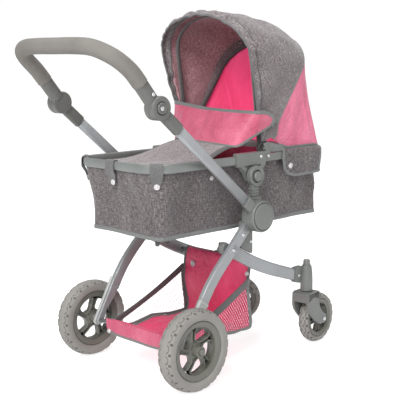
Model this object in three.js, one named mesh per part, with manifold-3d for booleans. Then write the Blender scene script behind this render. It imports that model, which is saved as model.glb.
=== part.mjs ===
// Doll stroller: a folding frame with swivelling casters, a lift-off carrycot that reclines, a two-bow
// hood and a basket. Millimetres, +X ahead (the way it is pushed), +Y to the left, +Z up.
// Every piece is drawn with X measured from the rear axle. The last step moves the origin to the middle
// of the length, on the floor.

import * as THREE from 'three';
import { mergeVertices } from 'three/addons/utils/BufferGeometryUtils.js';
import Module from 'manifold-3d';

const wasm = await Module();
wasm.setup();

// Driving dimensions
const GAP = 0.4; // between pieces that touch
const ORIGIN_X = 124.15; // the middle of the length, ahead of the rear axle

const REAR_WHEEL = { radius: 77.5, seat: 56.3, width: 34, sides: 36, track: 152 };
const FRONT_WHEEL = { radius: 52.6, seat: 40.7, width: 24, sides: 32 };
const SPOKES = 5;
const AXLE_RADIUS = 4;
const PIN_RADIUS = 4;

const HUB = { x: 188, z: 300, radius: 31 };
const LEG_PIVOT = { x: 125, z: 240 };
const HANDLE_PIVOT = { x: -71, z: 520, radius: 21.2 };
const RECLINE_PIVOT = { x: 193, z: 376, radius: 20.5 };
const HOOD_PIVOT = { x: 229, z: 427 };
const CASTER = { x: 353, y: 125, trail: 37 };
const CASTER_TURNS = { R: 5, L: -41.5 }; // degrees, each trail measured from +X

// Planes across the width, as distances from the middle
const FRONT_LEG_PLANE = [109.5, 120.5];
const REAR_LEG_PLANE = [121.8, 132.8];
const HUB_INNER_PLANE = [121.2, 133.6];
const HUB_OUTER_PLANE = [134, 152.5];
const ARM_PLANE = [136.5, 147.5];
const ARM_WIDTH = 21;
const REAR_LEG_WIDTH = 21.5;

const COT = { foot: -30, head: 409, bottom: 275, top: 400, halfBottom: 100, halfTop: 107.5, wall: 4 };
const RIM = { z: 408.5, height: 15, inner: 110.2, outer: 119.8, foot: -58, head: 417 };
const HOOD = { half: 112, top: 268, wall: 3 };
const BASKET = { half: 97, rear: 8, front: 218, wall: 3 };

const COLOURS = {
  rail: ['#9a9ea2', 0.38, 0.35],
  plastic: ['#7d807d', 0.55, 0],
  socket: ['#c3c5c2', 0.5, 0],
  tyre: ['#a3a09b', 0.8, 0],
  foam: ['#77746f', 0.95, 0],
  wheel: ['#83827a', 0.5, 0],
  cot: ['#7a7273', 0.95, 0],
  apron: ['#b7b5b6', 0.95, 0],
  pink: ['#c9476e', 0.8, 0],
  steel: ['#b9bbbd', 0.3, 0.9],
};

const DEGREE = Math.PI / 180;

// ---- Solids ----

// A closed solid from any three.js geometry, its faces turned outwards.
function solid(geometry) {
  const bare = new THREE.BufferGeometry();
  bare.setAttribute('position', geometry.getAttribute('position'));
  if (geometry.index) bare.setIndex(geometry.index);
  const merged = mergeVertices(bare, 1e-3);
  const points = merged.getAttribute('position');
  const corners = [0, 1, 2].map(() => new THREE.Vector3());
  const triangles = [];
  let volume = 0;
  for (let i = 0; i < merged.index.count; i += 3) {
    const [a, b, c] = [0, 1, 2].map((k) => merged.index.getX(i + k));
    if (a === b || b === c || c === a) continue;
    [a, b, c].forEach((n, k) => corners[k].fromBufferAttribute(points, n));
    volume += corners[0].dot(corners[1].clone().cross(corners[2]));
    triangles.push([a, b, c]);
  }
  const turned = volume < 0 ? triangles.map(([a, b, c]) => [a, c, b]) : triangles;
  return new wasm.Manifold(
    new wasm.Mesh({
      numProp: 3,
      vertProperties: new Float32Array(points.array),
      triVerts: new Uint32Array(turned.flat()),
    }),
  );
}

const joined = (...solids) => solids.reduce((whole, next) => whole.add(next));
const cut = (whole, ...tools) => tools.reduce((left, tool) => left.subtract(tool), whole);

// The geometry of a solid, reflected across the middle plane where side is -1.
function geometryOf(manifold, side = 1) {
  const { vertProperties, triVerts } = manifold.getMesh();
  const geometry = new THREE.BufferGeometry();
  const triangles = Array.from(triVerts);
  if (side < 0) triangles.reverse();
  geometry.setAttribute('position', new THREE.BufferAttribute(new Float32Array(vertProperties), 3));
  geometry.setIndex(triangles);
  geometry.scale(1, side, 1);
  geometry.computeVertexNormals();
  return geometry;
}

const reflected = (manifold) => solid(geometryOf(manifold, -1));

const outline = (points) => new THREE.Shape(points.map(([x, y]) => new THREE.Vector2(x, y)));

// A plate whose outline is drawn in the side view (x, z), between two planes across the width.
function plate(points, [near, far]) {
  const shape = points instanceof THREE.Shape ? points : outline(points);
  const geometry = new THREE.ExtrudeGeometry(shape, {
    depth: far - near,
    bevelEnabled: false,
    curveSegments: 12,
  });
  return solid(geometry.rotateX(90 * DEGREE).translate(0, far, 0));
}

// A drum about an axis along Y.
function drum(x, z, radius, [near, far], sides = 28) {
  const geometry = new THREE.CylinderGeometry(radius, radius, far - near, sides);
  return solid(geometry.translate(x, (near + far) / 2, z));
}

// A ring about the Y axis through the origin, its profile a closed list of [radius, y].
function ring(profile, sides) {
  const closed = [...profile, profile[0]].map(([radius, y]) => new THREE.Vector2(radius, y));
  return solid(new THREE.LatheGeometry(closed, sides, Math.PI / sides));
}

// A post about a vertical axis, its profile a list of [radius, z] that starts and ends on the axis.
function post(x, y, profile, sides = 20) {
  const line = profile.map(([radius, z]) => new THREE.Vector2(radius, z));
  const geometry = new THREE.LatheGeometry(line, sides);
  return solid(geometry.rotateX(90 * DEGREE).translate(x, y, 0));
}

// A plain post between two heights.
const column = (x, y, radius, [low, high], sides = 16) =>
  post(x, y, [[0, low], [radius, low], [radius, high], [0, high]], sides);

const curve = (points) =>
  new THREE.CatmullRomCurve3(points.map((p) => new THREE.Vector3(...p)), false, 'centripetal');

// A bar of rounded section along a path in one vertical plane: across is its width along Y. It is a
// flat oval unless its corners have a radius of their own.
function flatBar(path, y, across, height, steps, corner = across / 2) {
  const aside = across / 2 - corner;
  const up = height / 2 - corner;
  const section = new THREE.Shape();
  const centres = [[aside, up], [-aside, up], [-aside, -up], [aside, -up]];
  centres.forEach(([x, z], n) => section.absarc(x, z, corner, n * 90 * DEGREE, (n + 1) * 90 * DEGREE));
  const extrudePath = curve(path.map(([x, z]) => [x, y, z]));
  return solid(new THREE.ExtrudeGeometry(section, { extrudePath, steps, curveSegments: 3 }));
}

// A round bar along a path.
function roundBar(points, radius, steps, sides = 12) {
  const section = new THREE.Shape();
  section.absarc(0, 0, radius, 0, 2 * Math.PI);
  const extrudePath = curve(points);
  return solid(new THREE.ExtrudeGeometry(section, { extrudePath, steps, curveSegments: sides / 2 }));
}

const middle = ([near, far]) => (near + far) / 2;
const polar = (centre, radius, angle) => [
  centre.x + radius * Math.cos(angle * DEGREE),
  centre.z + radius * Math.sin(angle * DEGREE),
];

// ---- The scene graph ----

const stroller = new THREE.Group();
stroller.position.x = -ORIGIN_X;

function piece(parent, name, manifold, look, side = 1) {
  const [color, roughness, metalness] = COLOURS[look];
  const material = new THREE.MeshStandardMaterial({ color, roughness, metalness });
  const mesh = new THREE.Mesh(geometryOf(manifold, side), material);
  mesh.name = name;
  parent.add(mesh);
}

const SIDES = { L: 1, R: -1 };

// The same piece on both sides, drawn for the left.
function pair(name, manifold, look) {
  for (const [letter, side] of Object.entries(SIDES)) {
    piece(stroller, `${name}_${letter}`, manifold, look, side);
  }
}

// ---- Wheels ----

function tyre({ radius, seat, width, sides }) {
  const corner = radius / Math.cos(Math.PI / sides);
  const half = width / 2;
  return ring(
    [
      [seat, 0.8 * half],
      [seat + 6, half],
      [corner - 6, 0.97 * half],
      [corner, 0.5 * half],
      [corner, -0.5 * half],
      [corner - 6, -0.97 * half],
      [seat + 6, -half],
      [seat, -0.8 * half],
    ],
    sides,
  );
}

// A rim with five swept spokes round a bored hub.
function rim({ seat, width, sides }, { inner, boss, bossReach }) {
  const outer = seat - GAP;
  const half = 0.8 * (width / 2);
  const band = ring([[outer, half], [inner + 1.5, half], [inner + 1.5, -half], [outer, -half]], sides);
  const centre = drum(0, 0, boss, [-bossReach, bossReach], 20);
  const arms = Array.from({ length: SPOKES }, (_, n) => {
    const turn = (angle) => angle + (360 / SPOKES) * n;
    const at = (radius, angle) => polar({ x: 0, z: 0 }, radius, turn(angle));
    const far = inner + 3;
    const mid = (boss + far) / 2;
    const ahead = [at(boss - 3, -30), at(mid, -9), at(far, -17), at(far + 1, 0)];
    const behind = [at(far, 17), at(mid, 13), at(boss - 3, 38)];
    return plate([...ahead, ...behind], [-half * 0.5, half * 0.5]);
  });
  const bore = drum(0, 0, AXLE_RADIUS + 0.7, [-bossReach - 5, bossReach + 5], 12);
  return cut(joined(band, centre, ...arms), bore);
}

function addRearWheels() {
  const { track } = REAR_WHEEL;
  const bossReach = 17.5;
  const rubber = tyre(REAR_WHEEL);
  const spoked = rim(REAR_WHEEL, { inner: 43.4, boss: 13, bossReach });
  for (const [letter, side] of Object.entries(SIDES)) {
    const wheel = new THREE.Group();
    wheel.position.set(0, side * track, REAR_WHEEL.radius);
    stroller.add(wheel);
    piece(wheel, `rear_tyre_${letter}`, rubber, 'tyre', side);
    piece(wheel, `rear_rim_${letter}`, spoked, 'wheel', side);
    const cap = cut(
      drum(0, 0, 10.5, [bossReach + GAP, bossReach + 7], 20),
      drum(0, 0, AXLE_RADIUS + 0.7, [bossReach, bossReach + 4], 12),
    );
    piece(wheel, `rear_hub_cap_${letter}`, cap, 'wheel', side);
  }
  const axleEnd = track + bossReach + 3;
  piece(
    stroller,
    'rear_axle',
    drum(0, REAR_WHEEL.radius, AXLE_RADIUS, [-axleEnd, axleEnd], 12),
    'steel',
  );
}

// Each caster: a fork that swivels about the post, and a wheel between its legs.
function addCasters() {
  const forkTop = 117;
  const legGap = FRONT_WHEEL.width / 2 + 2;
  const legThick = 5.5;
  const axle = { x: CASTER.trail, z: FRONT_WHEEL.radius };
  const crownTop = [[21, forkTop - 2], [17, forkTop], [0, forkTop]];
  const crown = post(0, 0, [[0, forkTop - 10], [21, forkTop - 10], ...crownTop]);
  const leg = plate(
    [
      [-20, forkTop - 8],
      [-19, forkTop - 22],
      [-6, 76],
      [16, 52],
      [axle.x - 7, axle.z - 9],
      [axle.x + 7, axle.z - 9],
      [axle.x + 8, axle.z + 6],
      [31, 80],
      [20, forkTop - 8],
    ],
    [legGap, legGap + legThick],
  );
  const stemBore = column(0, 0, 6.6, [forkTop - 20, forkTop + 5]);
  // The top of the wheel well, so that the tyre clears the crown
  const well = drum(axle.x, axle.z, FRONT_WHEEL.radius + 4, [-legGap, legGap], 24);
  const bolt = drum(axle.x, axle.z, AXLE_RADIUS, [-legGap - legThick - 1.5, legGap + legThick + 1.5], 12);
  const fork = joined(cut(joined(crown, leg, reflected(leg)), stemBore, well), bolt);
  const stem = post(0, 0, [[0, 108], [5.6, 108], [5.6, 174], [7, 175], [7, 182], [5.5, 184], [0, 184]], 16);
  const spoked = rim(FRONT_WHEEL, { inner: 32.5, boss: 9.5, bossReach: FRONT_WHEEL.width / 2 + 1 });
  const rubber = tyre(FRONT_WHEEL);
  for (const [letter, side] of Object.entries(SIDES)) {
    const caster = new THREE.Group();
    caster.position.set(CASTER.x, side * CASTER.y, 0);
    caster.rotation.z = CASTER_TURNS[letter] * DEGREE;
    stroller.add(caster);
    piece(caster, `caster_fork_${letter}`, fork, 'plastic');
    piece(caster, `caster_stem_${letter}`, stem, 'socket');
    const wheel = new THREE.Group();
    wheel.position.set(axle.x, 0, axle.z);
    caster.add(wheel);
    piece(wheel, `front_rim_${letter}`, spoked, 'wheel');
    piece(wheel, `front_tyre_${letter}`, rubber, 'tyre');
  }
}

// ---- Lower frame ----

const REAR_LEG_PATH = [
  [170.5, 286],
  [125.5, 240.5],
  [85.5, 202.5],
  [59.5, 171],
  [39.5, 138],
];

function addRearLegs() {
  const y = middle(REAR_LEG_PLANE);
  const across = REAR_LEG_PLANE[1] - REAR_LEG_PLANE[0];
  // A pin stands inwards from the leg, for the front leg to turn on
  const pinPlane = [FRONT_LEG_PLANE[0] - 2, REAR_LEG_PLANE[1] + 1];
  const pin = drum(LEG_PIVOT.x, LEG_PIVOT.z, PIN_RADIUS, pinPlane, 12);
  pair('rear_leg', joined(flatBar(REAR_LEG_PATH, y, across, REAR_LEG_WIDTH, 8, 2.5), pin), 'rail');
  // The socket grips the foot of the leg and carries the axle
  const foot = plate(
    [[56.2, 147.8], [34.8, 161.2], [24, 142], [-14, 84], [-12, 68], [0, 62], [13, 67], [40, 112]],
    [REAR_LEG_PLANE[0] - 2.2, REAR_LEG_PLANE[1] + 1],
  );
  const bore = drum(0, REAR_WHEEL.radius, AXLE_RADIUS + 0.6, [100, 150], 12);
  const seat = flatBar(
    [REAR_LEG_PATH[2], REAR_LEG_PATH[3], REAR_LEG_PATH[4], [36, 131]],
    y,
    across + 2 * GAP,
    REAR_LEG_WIDTH + 2 * GAP,
    6,
    2.5,
  );
  pair('rear_leg_socket', cut(foot, bore, seat), 'socket');
}

const FRONT_LEG_OUTLINE = {
  top: [[117.6, 254], [130, 250.5], [160, 236], [206, 213], [256, 192], [321, 169]],
  bottom: [[321, 143], [250, 167], [195, 190], [146, 216], [131, 225], [117.6, 229]],
};

function addFrontLegs() {
  const leg = plate([...FRONT_LEG_OUTLINE.top, ...FRONT_LEG_OUTLINE.bottom], FRONT_LEG_PLANE);
  const pivotHole = drum(LEG_PIVOT.x, LEG_PIVOT.z, PIN_RADIUS + 0.6, [100, 140], 12);
  pair('front_leg', cut(leg, pivotHole), 'rail');
  // The plug closes the leg's rear end, behind the pivot
  const plug = plate(
    [[117.2, 253.6], [117.2, 229.4], [112, 231], [108.5, 235], [108, 247], [112, 252.5]],
    FRONT_LEG_PLANE,
  );
  pair('front_leg_plug', plug, 'plastic');
  const span = FRONT_LEG_PLANE[0] - GAP;
  piece(stroller, 'front_crossbar', drum(221, 190, 7, [-span, span], 14), 'rail');
  const housing = joined(
    post(CASTER.x, CASTER.y, [[0, 118], [12, 118], [12.6, 124], [12.6, 166], [11, 173], [0, 173]]),
    plate([[321.5, 169.5], [321.5, 140], [334, 136], [346, 134], [350, 172], [342, 170]], [109.5, 128]),
  );
  const stemBore = column(CASTER.x, CASTER.y, 6.3, [100, 180]);
  pair('caster_housing', cut(housing, stemBore), 'plastic');
}

function hubInner() {
  const body = joined(
    drum(HUB.x, HUB.z, HUB.radius, HUB_INNER_PLANE),
    // The mouth that takes the adapter of the carrycot
    plate([[168, 318], [172, 337], [203, 337], [206, 318]], HUB_INNER_PLANE),
  );
  const slot = plate([[175.2, 331.5], [175.2, 340], [200.8, 340], [200.8, 331.5]], [115, 140]);
  // The top of the rear leg is let into the back of the drum
  const legSeat = flatBar(
    [[175, 290.5], REAR_LEG_PATH[0], REAR_LEG_PATH[1]],
    middle(REAR_LEG_PLANE),
    14.8,
    REAR_LEG_WIDTH + 2 * GAP,
    4,
    1,
  );
  return cut(body, slot, legSeat);
}

function addHubs() {
  pair('hub_inner', hubInner(), 'plastic');
  // The link hangs from the hub towards the front leg
  const link = plate(
    [[160, 290], [158, 253], [160.5, 238], [190, 223.4], [192, 227], [191, 290]],
    [HUB_INNER_PLANE[0] - 9.6, HUB_INNER_PLANE[0] - GAP],
  );
  pair('leg_link', link, 'plastic');
}

// ---- Push handle ----

const ARM = { from: [HANDLE_PIVOT.x, HANDLE_PIVOT.z], to: [HUB.x, HUB.z] };
const armLength = Math.hypot(ARM.to[0] - ARM.from[0], ARM.to[1] - ARM.from[1]);
const armUnit = [(ARM.to[0] - ARM.from[0]) / armLength, (ARM.to[1] - ARM.from[1]) / armLength];
const alongArm = (distance) => [
  ARM.from[0] + armUnit[0] * distance,
  ARM.from[1] + armUnit[1] * distance,
];

function addPushFrame() {
  const y = middle(ARM_PLANE);
  const across = ARM_PLANE[1] - ARM_PLANE[0];
  const armStart = 34;
  const armEnd = armLength - 34;
  pair('push_arm', flatBar([alongArm(armStart), alongArm(armEnd)], y, across, ARM_WIDTH, 1), 'rail');
  // Each socket swallows an end of the arm, and its drum turns about a pivot
  const socketAt = (from, to, plane) => flatBar([alongArm(from), alongArm(to)], middle(plane), 15, 24, 1);
  const armSeat = flatBar(
    [alongArm(armStart - 0.5), alongArm(armEnd + 0.5)],
    y,
    across + 2 * GAP,
    ARM_WIDTH + 2 * GAP,
    1,
  );
  const buttonHole = drum(HUB.x, HUB.z, 26.4, [HUB_OUTER_PLANE[1] - 5, 170], 32);
  const hubDrum = drum(HUB.x, HUB.z, HUB.radius, HUB_OUTER_PLANE);
  const outer = joined(hubDrum, socketAt(armLength - 52, armLength - 20, ARM_PLANE));
  pair('hub_outer', cut(outer, armSeat, buttonHole), 'plastic');
  const button = drum(HUB.x, HUB.z, 26, [HUB_OUTER_PLANE[1] - 1.2, HUB_OUTER_PLANE[1] + 3]);
  pair('hub_button', button, 'plastic');
  const knuckle = cut(
    joined(
      drum(HANDLE_PIVOT.x, HANDLE_PIVOT.z, HANDLE_PIVOT.radius, [142.2, 154]),
      socketAt(16, 62, ARM_PLANE),
    ),
    drum(HANDLE_PIVOT.x, HANDLE_PIVOT.z, HANDLE_PIVOT.radius + 0.8, [128, 141.8]),
    drum(HANDLE_PIVOT.x, HANDLE_PIVOT.z, 11, [149, 160]),
    armSeat,
  );
  pair('handle_knuckle_lower', knuckle, 'plastic');
  pair('handle_button', drum(HANDLE_PIVOT.x, HANDLE_PIVOT.z, 10.5, [152.6, 156.5], 20), 'plastic');
}

const GRIP_RADIUS = 14.2;
const GRIP_HALF = [
  [-107, 138, 564],
  [-124, 137, 583],
  [-147, 132, 602],
  [-166, 117, 616],
  [-176, 92, 624],
  [-180, 50, 626],
  [-180, 0, 626],
];

function addHandle() {
  const path = [...GRIP_HALF, ...GRIP_HALF.slice(0, -1).reverse().map(([x, y, z]) => [x, -y, z])];
  piece(stroller, 'handle_grip', roundBar(path, GRIP_RADIUS, 30, 10), 'foam');
  const centre = [HANDLE_PIVOT.x, 136, HANDLE_PIVOT.z];
  const towardsGrip = (share) => centre.map((value, k) => value + share * (GRIP_HALF[0][k] - value));
  const neck = roundBar([towardsGrip(0.2), towardsGrip(0.95)], 12, 1);
  const drumHalf = drum(HANDLE_PIVOT.x, HANDLE_PIVOT.z, HANDLE_PIVOT.radius, [129.5, 141.8]);
  const clearance = drum(HANDLE_PIVOT.x, HANDLE_PIVOT.z, HANDLE_PIVOT.radius + 0.8, [141.8, 156]);
  pair('handle_knuckle_upper', cut(joined(drumHalf, neck), clearance), 'plastic');
}

// ---- Carrycot ----

// The reclining mount on each side of the carrycot
function addSeatMounts() {
  const { x, z, radius } = RECLINE_PIVOT;
  const discPlane = [111.8, 120.6];
  const { z: rimZ, height, inner, outer } = RIM;
  const [tubeLow, tubeHigh] = [rimZ - height / 2, rimZ + height / 2];
  const tube = [[225, tubeLow], [280, tubeLow], [280, tubeHigh], [225, tubeHigh]];
  const webTop = [[146, 400], [146, 422], [225, 422], [225, 400]];
  const web = [...webTop, [214, 388], [208, 376], [178, 376], [170, 388]];
  const bracket = joined(
    drum(x, z, radius, discPlane),
    plate(web, [109.6, 123]),
    plate(tube, [inner, outer]),
    // The clip that stands on the tube and carries the hood's bows on a pin
    plate([[228, 415], [228, 430], [235, 435], [243, 430], [243, 415]], [inner, outer]),
    drum(HOOD_PIVOT.x, HOOD_PIVOT.z, 2.6, [100.5, 115], 12),
  );
  const adapterPlane = [121.2, 132.6];
  pair('rim_bracket', cut(bracket, drum(x, z, radius + 0.8, [adapterPlane[0] - GAP, 140])), 'plastic');
  const tongue = [[177.6, 338], [176, 337.4], [176, 332], [200, 332], [200, 337.4], [198.4, 338]];
  const stem = plate([[177.6, 362], ...tongue, [198.4, 362]], adapterPlane);
  const buttonWell = drum(x, z, 10.6, [adapterPlane[1] - 4, 140], 20);
  pair('seat_adapter', cut(joined(drum(x, z, radius, adapterPlane), stem), buttonWell), 'plastic');
  pair('recline_button', drum(x, z, 10, [adapterPlane[1] - 0.6, adapterPlane[1] + 3], 20), 'plastic');
}

// A rounded rectangle in plan.
function roundedPlan(foot, head, half, radius) {
  const shape = new THREE.Shape();
  shape.absarc(head - radius, half - radius, radius, 0, 90 * DEGREE);
  shape.absarc(foot + radius, half - radius, radius, 90 * DEGREE, 180 * DEGREE);
  shape.absarc(foot + radius, radius - half, radius, 180 * DEGREE, 270 * DEGREE);
  shape.absarc(head - radius, radius - half, radius, 270 * DEGREE, 360 * DEGREE);
  return shape;
}

// A block between two heights, drawn in plan, that widens by the given factor towards its top.
function block(shape, low, high, widen = 1) {
  const geometry = new THREE.ExtrudeGeometry(shape, {
    depth: high - low,
    bevelEnabled: false,
    curveSegments: 6,
  });
  const points = geometry.getAttribute('position');
  for (let i = 0; i < points.count; i += 1) {
    const grown = 1 + (widen - 1) * (points.getZ(i) / (high - low));
    points.setY(i, points.getY(i) * grown);
  }
  return solid(geometry.translate(0, 0, low));
}

function addCot() {
  const { foot, head, bottom, top, halfBottom, halfTop, wall } = COT;
  const widen = halfTop / halfBottom;
  const plan = (inset) => roundedPlan(foot + inset, head - inset, halfBottom - inset, 46 - inset);
  const outer = block(plan(0), bottom, top, widen);
  const shell = cut(outer, block(plan(wall), bottom + 5, top + 5, widen));
  piece(stroller, 'cot_shell', shell, 'cot');
  piece(stroller, 'mattress', block(plan(wall + 4), bottom + 5.4, bottom + 26), 'pink');
}

function addRim() {
  const { z, height, inner, outer, foot, head } = RIM;
  const band = cut(
    block(roundedPlan(foot, head, outer, 70), z - height / 2, z + height / 2),
    block(roundedPlan(foot + 9.6, head - 9.6, inner, 62), z - height, z + height),
  );
  const halves = { foot: [foot - 10, 146 - GAP], head: [280 + GAP, head + 10] };
  for (const [name, [from, to]] of Object.entries(halves)) {
    const half = block(outline([[from, -130], [to, -130], [to, 130], [from, 130]]), z - 20, z + 20);
    piece(stroller, `rim_tube_${name}`, band.intersect(half), 'rail');
  }
}

// The apron over the foot of the cot, and the wind flap that stands up from its seam
function addCovers() {
  const lift = RIM.z + RIM.height / 2 + GAP;
  const half = 108;
  const thick = 3;
  const seam = [145, lift + 13];
  const top = [[RIM.foot + 6, lift + thick], [-30, lift + 6], [60, lift + 13], [seam[0], seam[1] + thick]];
  const underside = top.map(([x, z]) => [x, z - thick]).reverse();
  const plan = block(roundedPlan(RIM.foot + 2, 300, half, 60), RIM.z, RIM.z + 60);
  piece(stroller, 'apron', plate([...top, ...underside], [-150, 150]).intersect(plan), 'apron');
  const flapTop = [208, 508];
  const flap = plate(
    [[seam[0] + GAP, seam[1]], [seam[0] + GAP + 3.5, seam[1]], [flapTop[0] + 3.5, flapTop[1]], flapTop],
    [-half, half],
  );
  piece(stroller, 'wind_flap', flap, 'pink');
}

// ---- Hood ----

// The hood is turned about its pivot: its section has straight sides and an arched top.
function hoodTurned(inset) {
  const straight = HOOD.top - 78;
  const across = HOOD.half - inset;
  const rise = HOOD.top - inset - straight;
  const steps = 10;
  const arch = Array.from({ length: steps + 1 }, (_, n) => {
    const angle = (n / steps) * 180 * DEGREE;
    return [straight + rise * Math.sin(angle), across * Math.cos(angle)];
  });
  const line = [[0, across], ...arch, [0, -across]].map(([radius, y]) => new THREE.Vector2(radius, y));
  return solid(new THREE.LatheGeometry(line, 60).translate(HOOD_PIVOT.x, 0, HOOD_PIVOT.z));
}

// A slice of the side view between two angles above +X, about the hood's pivot.
function wedge(low, high, start = 0) {
  const rim = [low, (low + high) / 2, high].map((angle) => polar(HOOD_PIVOT, 2 * HOOD.top, angle));
  return plate([polar(HOOD_PIVOT, start, low), ...rim, polar(HOOD_PIVOT, start, high)], [-150, 150]);
}

// One bow: a strip that follows the hood inside its cloth and turns on a boss at each side.
function bow(angle, inset, thick) {
  const width = 9;
  const dx = (width / 2) * Math.sin(angle * DEGREE);
  const dz = (width / 2) * Math.cos(angle * DEGREE);
  const far = polar(HOOD_PIVOT, 2 * HOOD.top, angle);
  const band = plate(
    [
      [HOOD_PIVOT.x - dx, HOOD_PIVOT.z + dz],
      [HOOD_PIVOT.x + dx, HOOD_PIVOT.z - dz],
      [far[0] + dx, far[1] - dz],
      [far[0] - dx, far[1] + dz],
    ],
    [-150, 150],
  );
  const strip = hoodTurned(inset).subtract(hoodTurned(inset + thick)).intersect(band);
  const bossPlane = [HOOD.half - inset - thick, HOOD.half - inset];
  const boss = drum(HOOD_PIVOT.x, HOOD_PIVOT.z, 7.5, bossPlane, 16);
  const hole = drum(HOOD_PIVOT.x, HOOD_PIVOT.z, 3.2, [-150, 150], 12);
  return cut(joined(strip, boss, reflected(boss)), hole);
}

function addHood() {
  const shell = hoodTurned(0).subtract(hoodTurned(HOOD.wall));
  const rearBow = 54;
  const frontEdge = 104;
  const clear = 0.4;
  piece(stroller, 'hood_front', shell.intersect(wedge(rearBow + clear, frontEdge, 34)), 'cot');
  const back = [polar(HOOD_PIVOT, 285, rearBow - clear), [400, 600], [404, 505], [419, 421]];
  const low = [[276, 425], polar(HOOD_PIVOT, 34, rearBow - clear)];
  const inward = (points) => points.map(([x, z]) => [x - HOOD.wall, z]);
  const outer = hoodTurned(0).intersect(plate([...back, ...low], [-150, 150]));
  const beyond = [[416, 400], [200, 400], [200, 480], polar(HOOD_PIVOT, 285, rearBow + 20)];
  const hollow = hoodTurned(HOOD.wall).intersect(plate([...inward(back), ...beyond], [-150, 150]));
  piece(stroller, 'hood_rear', outer.subtract(hollow), 'pink');
  piece(stroller, 'hood_bow_front', bow(frontEdge - 6.5, HOOD.wall + 4.2, 3), 'plastic');
  piece(stroller, 'hood_bow_rear', bow(rearBow, HOOD.wall + GAP, 3), 'plastic');
}

// ---- Basket ----

function addBasket() {
  const { half, rear, front, wall } = BASKET;
  const floor = [[rear, 71], [45, 62], [110, 58], [front, 59]];
  const mouth = [[front, 182], [front - wall, 182], [rear + 6, 84], [rear, 84]];
  const outer = plate([...floor, ...mouth], [-half, half]);
  const raised = floor.map(([x, z]) => [x - wall, z + wall]);
  const inner = plate([...raised, [front - wall, 220], [rear - wall, 220]], [wall - half, half - wall]);
  piece(stroller, 'basket', outer.subtract(inner), 'pink');
}

addRearWheels();
addCasters();
addRearLegs();
addFrontLegs();
addHubs();
addPushFrame();
addHandle();
addSeatMounts();
addCot();
addRim();
addCovers();
addHood();
addBasket();

export default stroller;
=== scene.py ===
import math

import bpy
from mathutils import Matrix, Vector, noise


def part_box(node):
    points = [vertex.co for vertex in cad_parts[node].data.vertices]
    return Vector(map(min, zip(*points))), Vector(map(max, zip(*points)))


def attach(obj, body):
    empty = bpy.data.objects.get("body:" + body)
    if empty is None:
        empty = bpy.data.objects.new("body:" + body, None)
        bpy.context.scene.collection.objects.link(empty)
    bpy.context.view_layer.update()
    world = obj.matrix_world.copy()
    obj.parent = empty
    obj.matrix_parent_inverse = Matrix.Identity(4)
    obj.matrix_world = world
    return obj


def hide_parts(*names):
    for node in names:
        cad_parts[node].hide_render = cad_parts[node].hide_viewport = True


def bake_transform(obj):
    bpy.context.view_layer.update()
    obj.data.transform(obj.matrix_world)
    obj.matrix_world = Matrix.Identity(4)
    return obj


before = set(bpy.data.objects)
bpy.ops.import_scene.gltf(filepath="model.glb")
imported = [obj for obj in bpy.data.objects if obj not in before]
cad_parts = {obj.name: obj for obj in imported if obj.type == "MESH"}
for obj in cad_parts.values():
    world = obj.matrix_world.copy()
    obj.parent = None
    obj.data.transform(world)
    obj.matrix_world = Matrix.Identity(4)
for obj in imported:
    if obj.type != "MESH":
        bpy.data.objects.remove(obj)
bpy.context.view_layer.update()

# Places are in millimetres with X measured from the rear axle, as the stroller was drawn;
# at() turns them into the row frame's metres.
MM = 0.001
axle_low, axle_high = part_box("rear_axle")
AXLE_X = (axle_low[0] + axle_high[0]) / 2
SIDES = {"L": 1, "R": -1}
TURN = 2 * math.pi


def at(x, y, z):
    return Vector((AXLE_X + x * MM, y * MM, z * MM))


# ---- Camera, floor and light ----


def make_camera():
    yaw, pitch, roll = math.radians(45.98), math.radians(9.2), math.radians(-0.4)
    forward = Vector((math.cos(yaw) * math.cos(pitch), math.sin(yaw) * math.cos(pitch), -math.sin(pitch)))
    level = Vector((math.sin(yaw), -math.cos(yaw), 0))
    above = level.cross(forward)
    right = level * math.cos(roll) + above * math.sin(roll)
    up = above * math.cos(roll) - level * math.sin(roll)
    data = bpy.data.cameras.new("camera")
    data.sensor_width = 36
    data.lens = 82.9
    data.clip_end = 50
    camera = bpy.data.objects.new("camera", data)
    place = at(-1112.3, -1321.9, 616.0)
    rows = [(right[k], up[k], -forward[k], place[k]) for k in range(3)]
    camera.matrix_world = Matrix([*rows, (0, 0, 0, 1)])
    bpy.context.collection.objects.link(camera)
    bpy.context.scene.camera = camera


def area_light(name, place, target, size, power):
    data = bpy.data.lights.new(name, "AREA")
    data.shape = "DISK"
    data.size = size
    data.energy = power
    lamp = bpy.data.objects.new(name, data)
    lamp.location = place
    lamp.rotation_euler = (Vector(target) - Vector(place)).to_track_quat("-Z", "Y").to_euler()
    bpy.context.collection.objects.link(lamp)


def make_backdrop():
    """A white dome behind everything, which only the camera sees, so that it casts no light."""
    points, faces = [], []
    columns, rows = 48, 24
    for n in range(rows + 1):
        lift = math.pi * (n / rows - 0.5)
        for k in range(columns):
            turn = TURN * k / columns
            points.append((8 * math.cos(lift) * math.cos(turn), 8 * math.cos(lift) * math.sin(turn),
                           8 * math.sin(lift)))
    for n in range(rows):
        for k in range(columns):
            a, b = n * columns + k, n * columns + (k + 1) % columns
            faces.append((a, b, b + columns, a + columns))
    dome = mesh_object("backdrop", points, faces, plain("backdrop", (0, 0, 0), 1.0, 1.0))
    dome.visible_diffuse = False
    dome.visible_glossy = False
    dome.visible_transmission = False
    dome.visible_shadow = False


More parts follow.
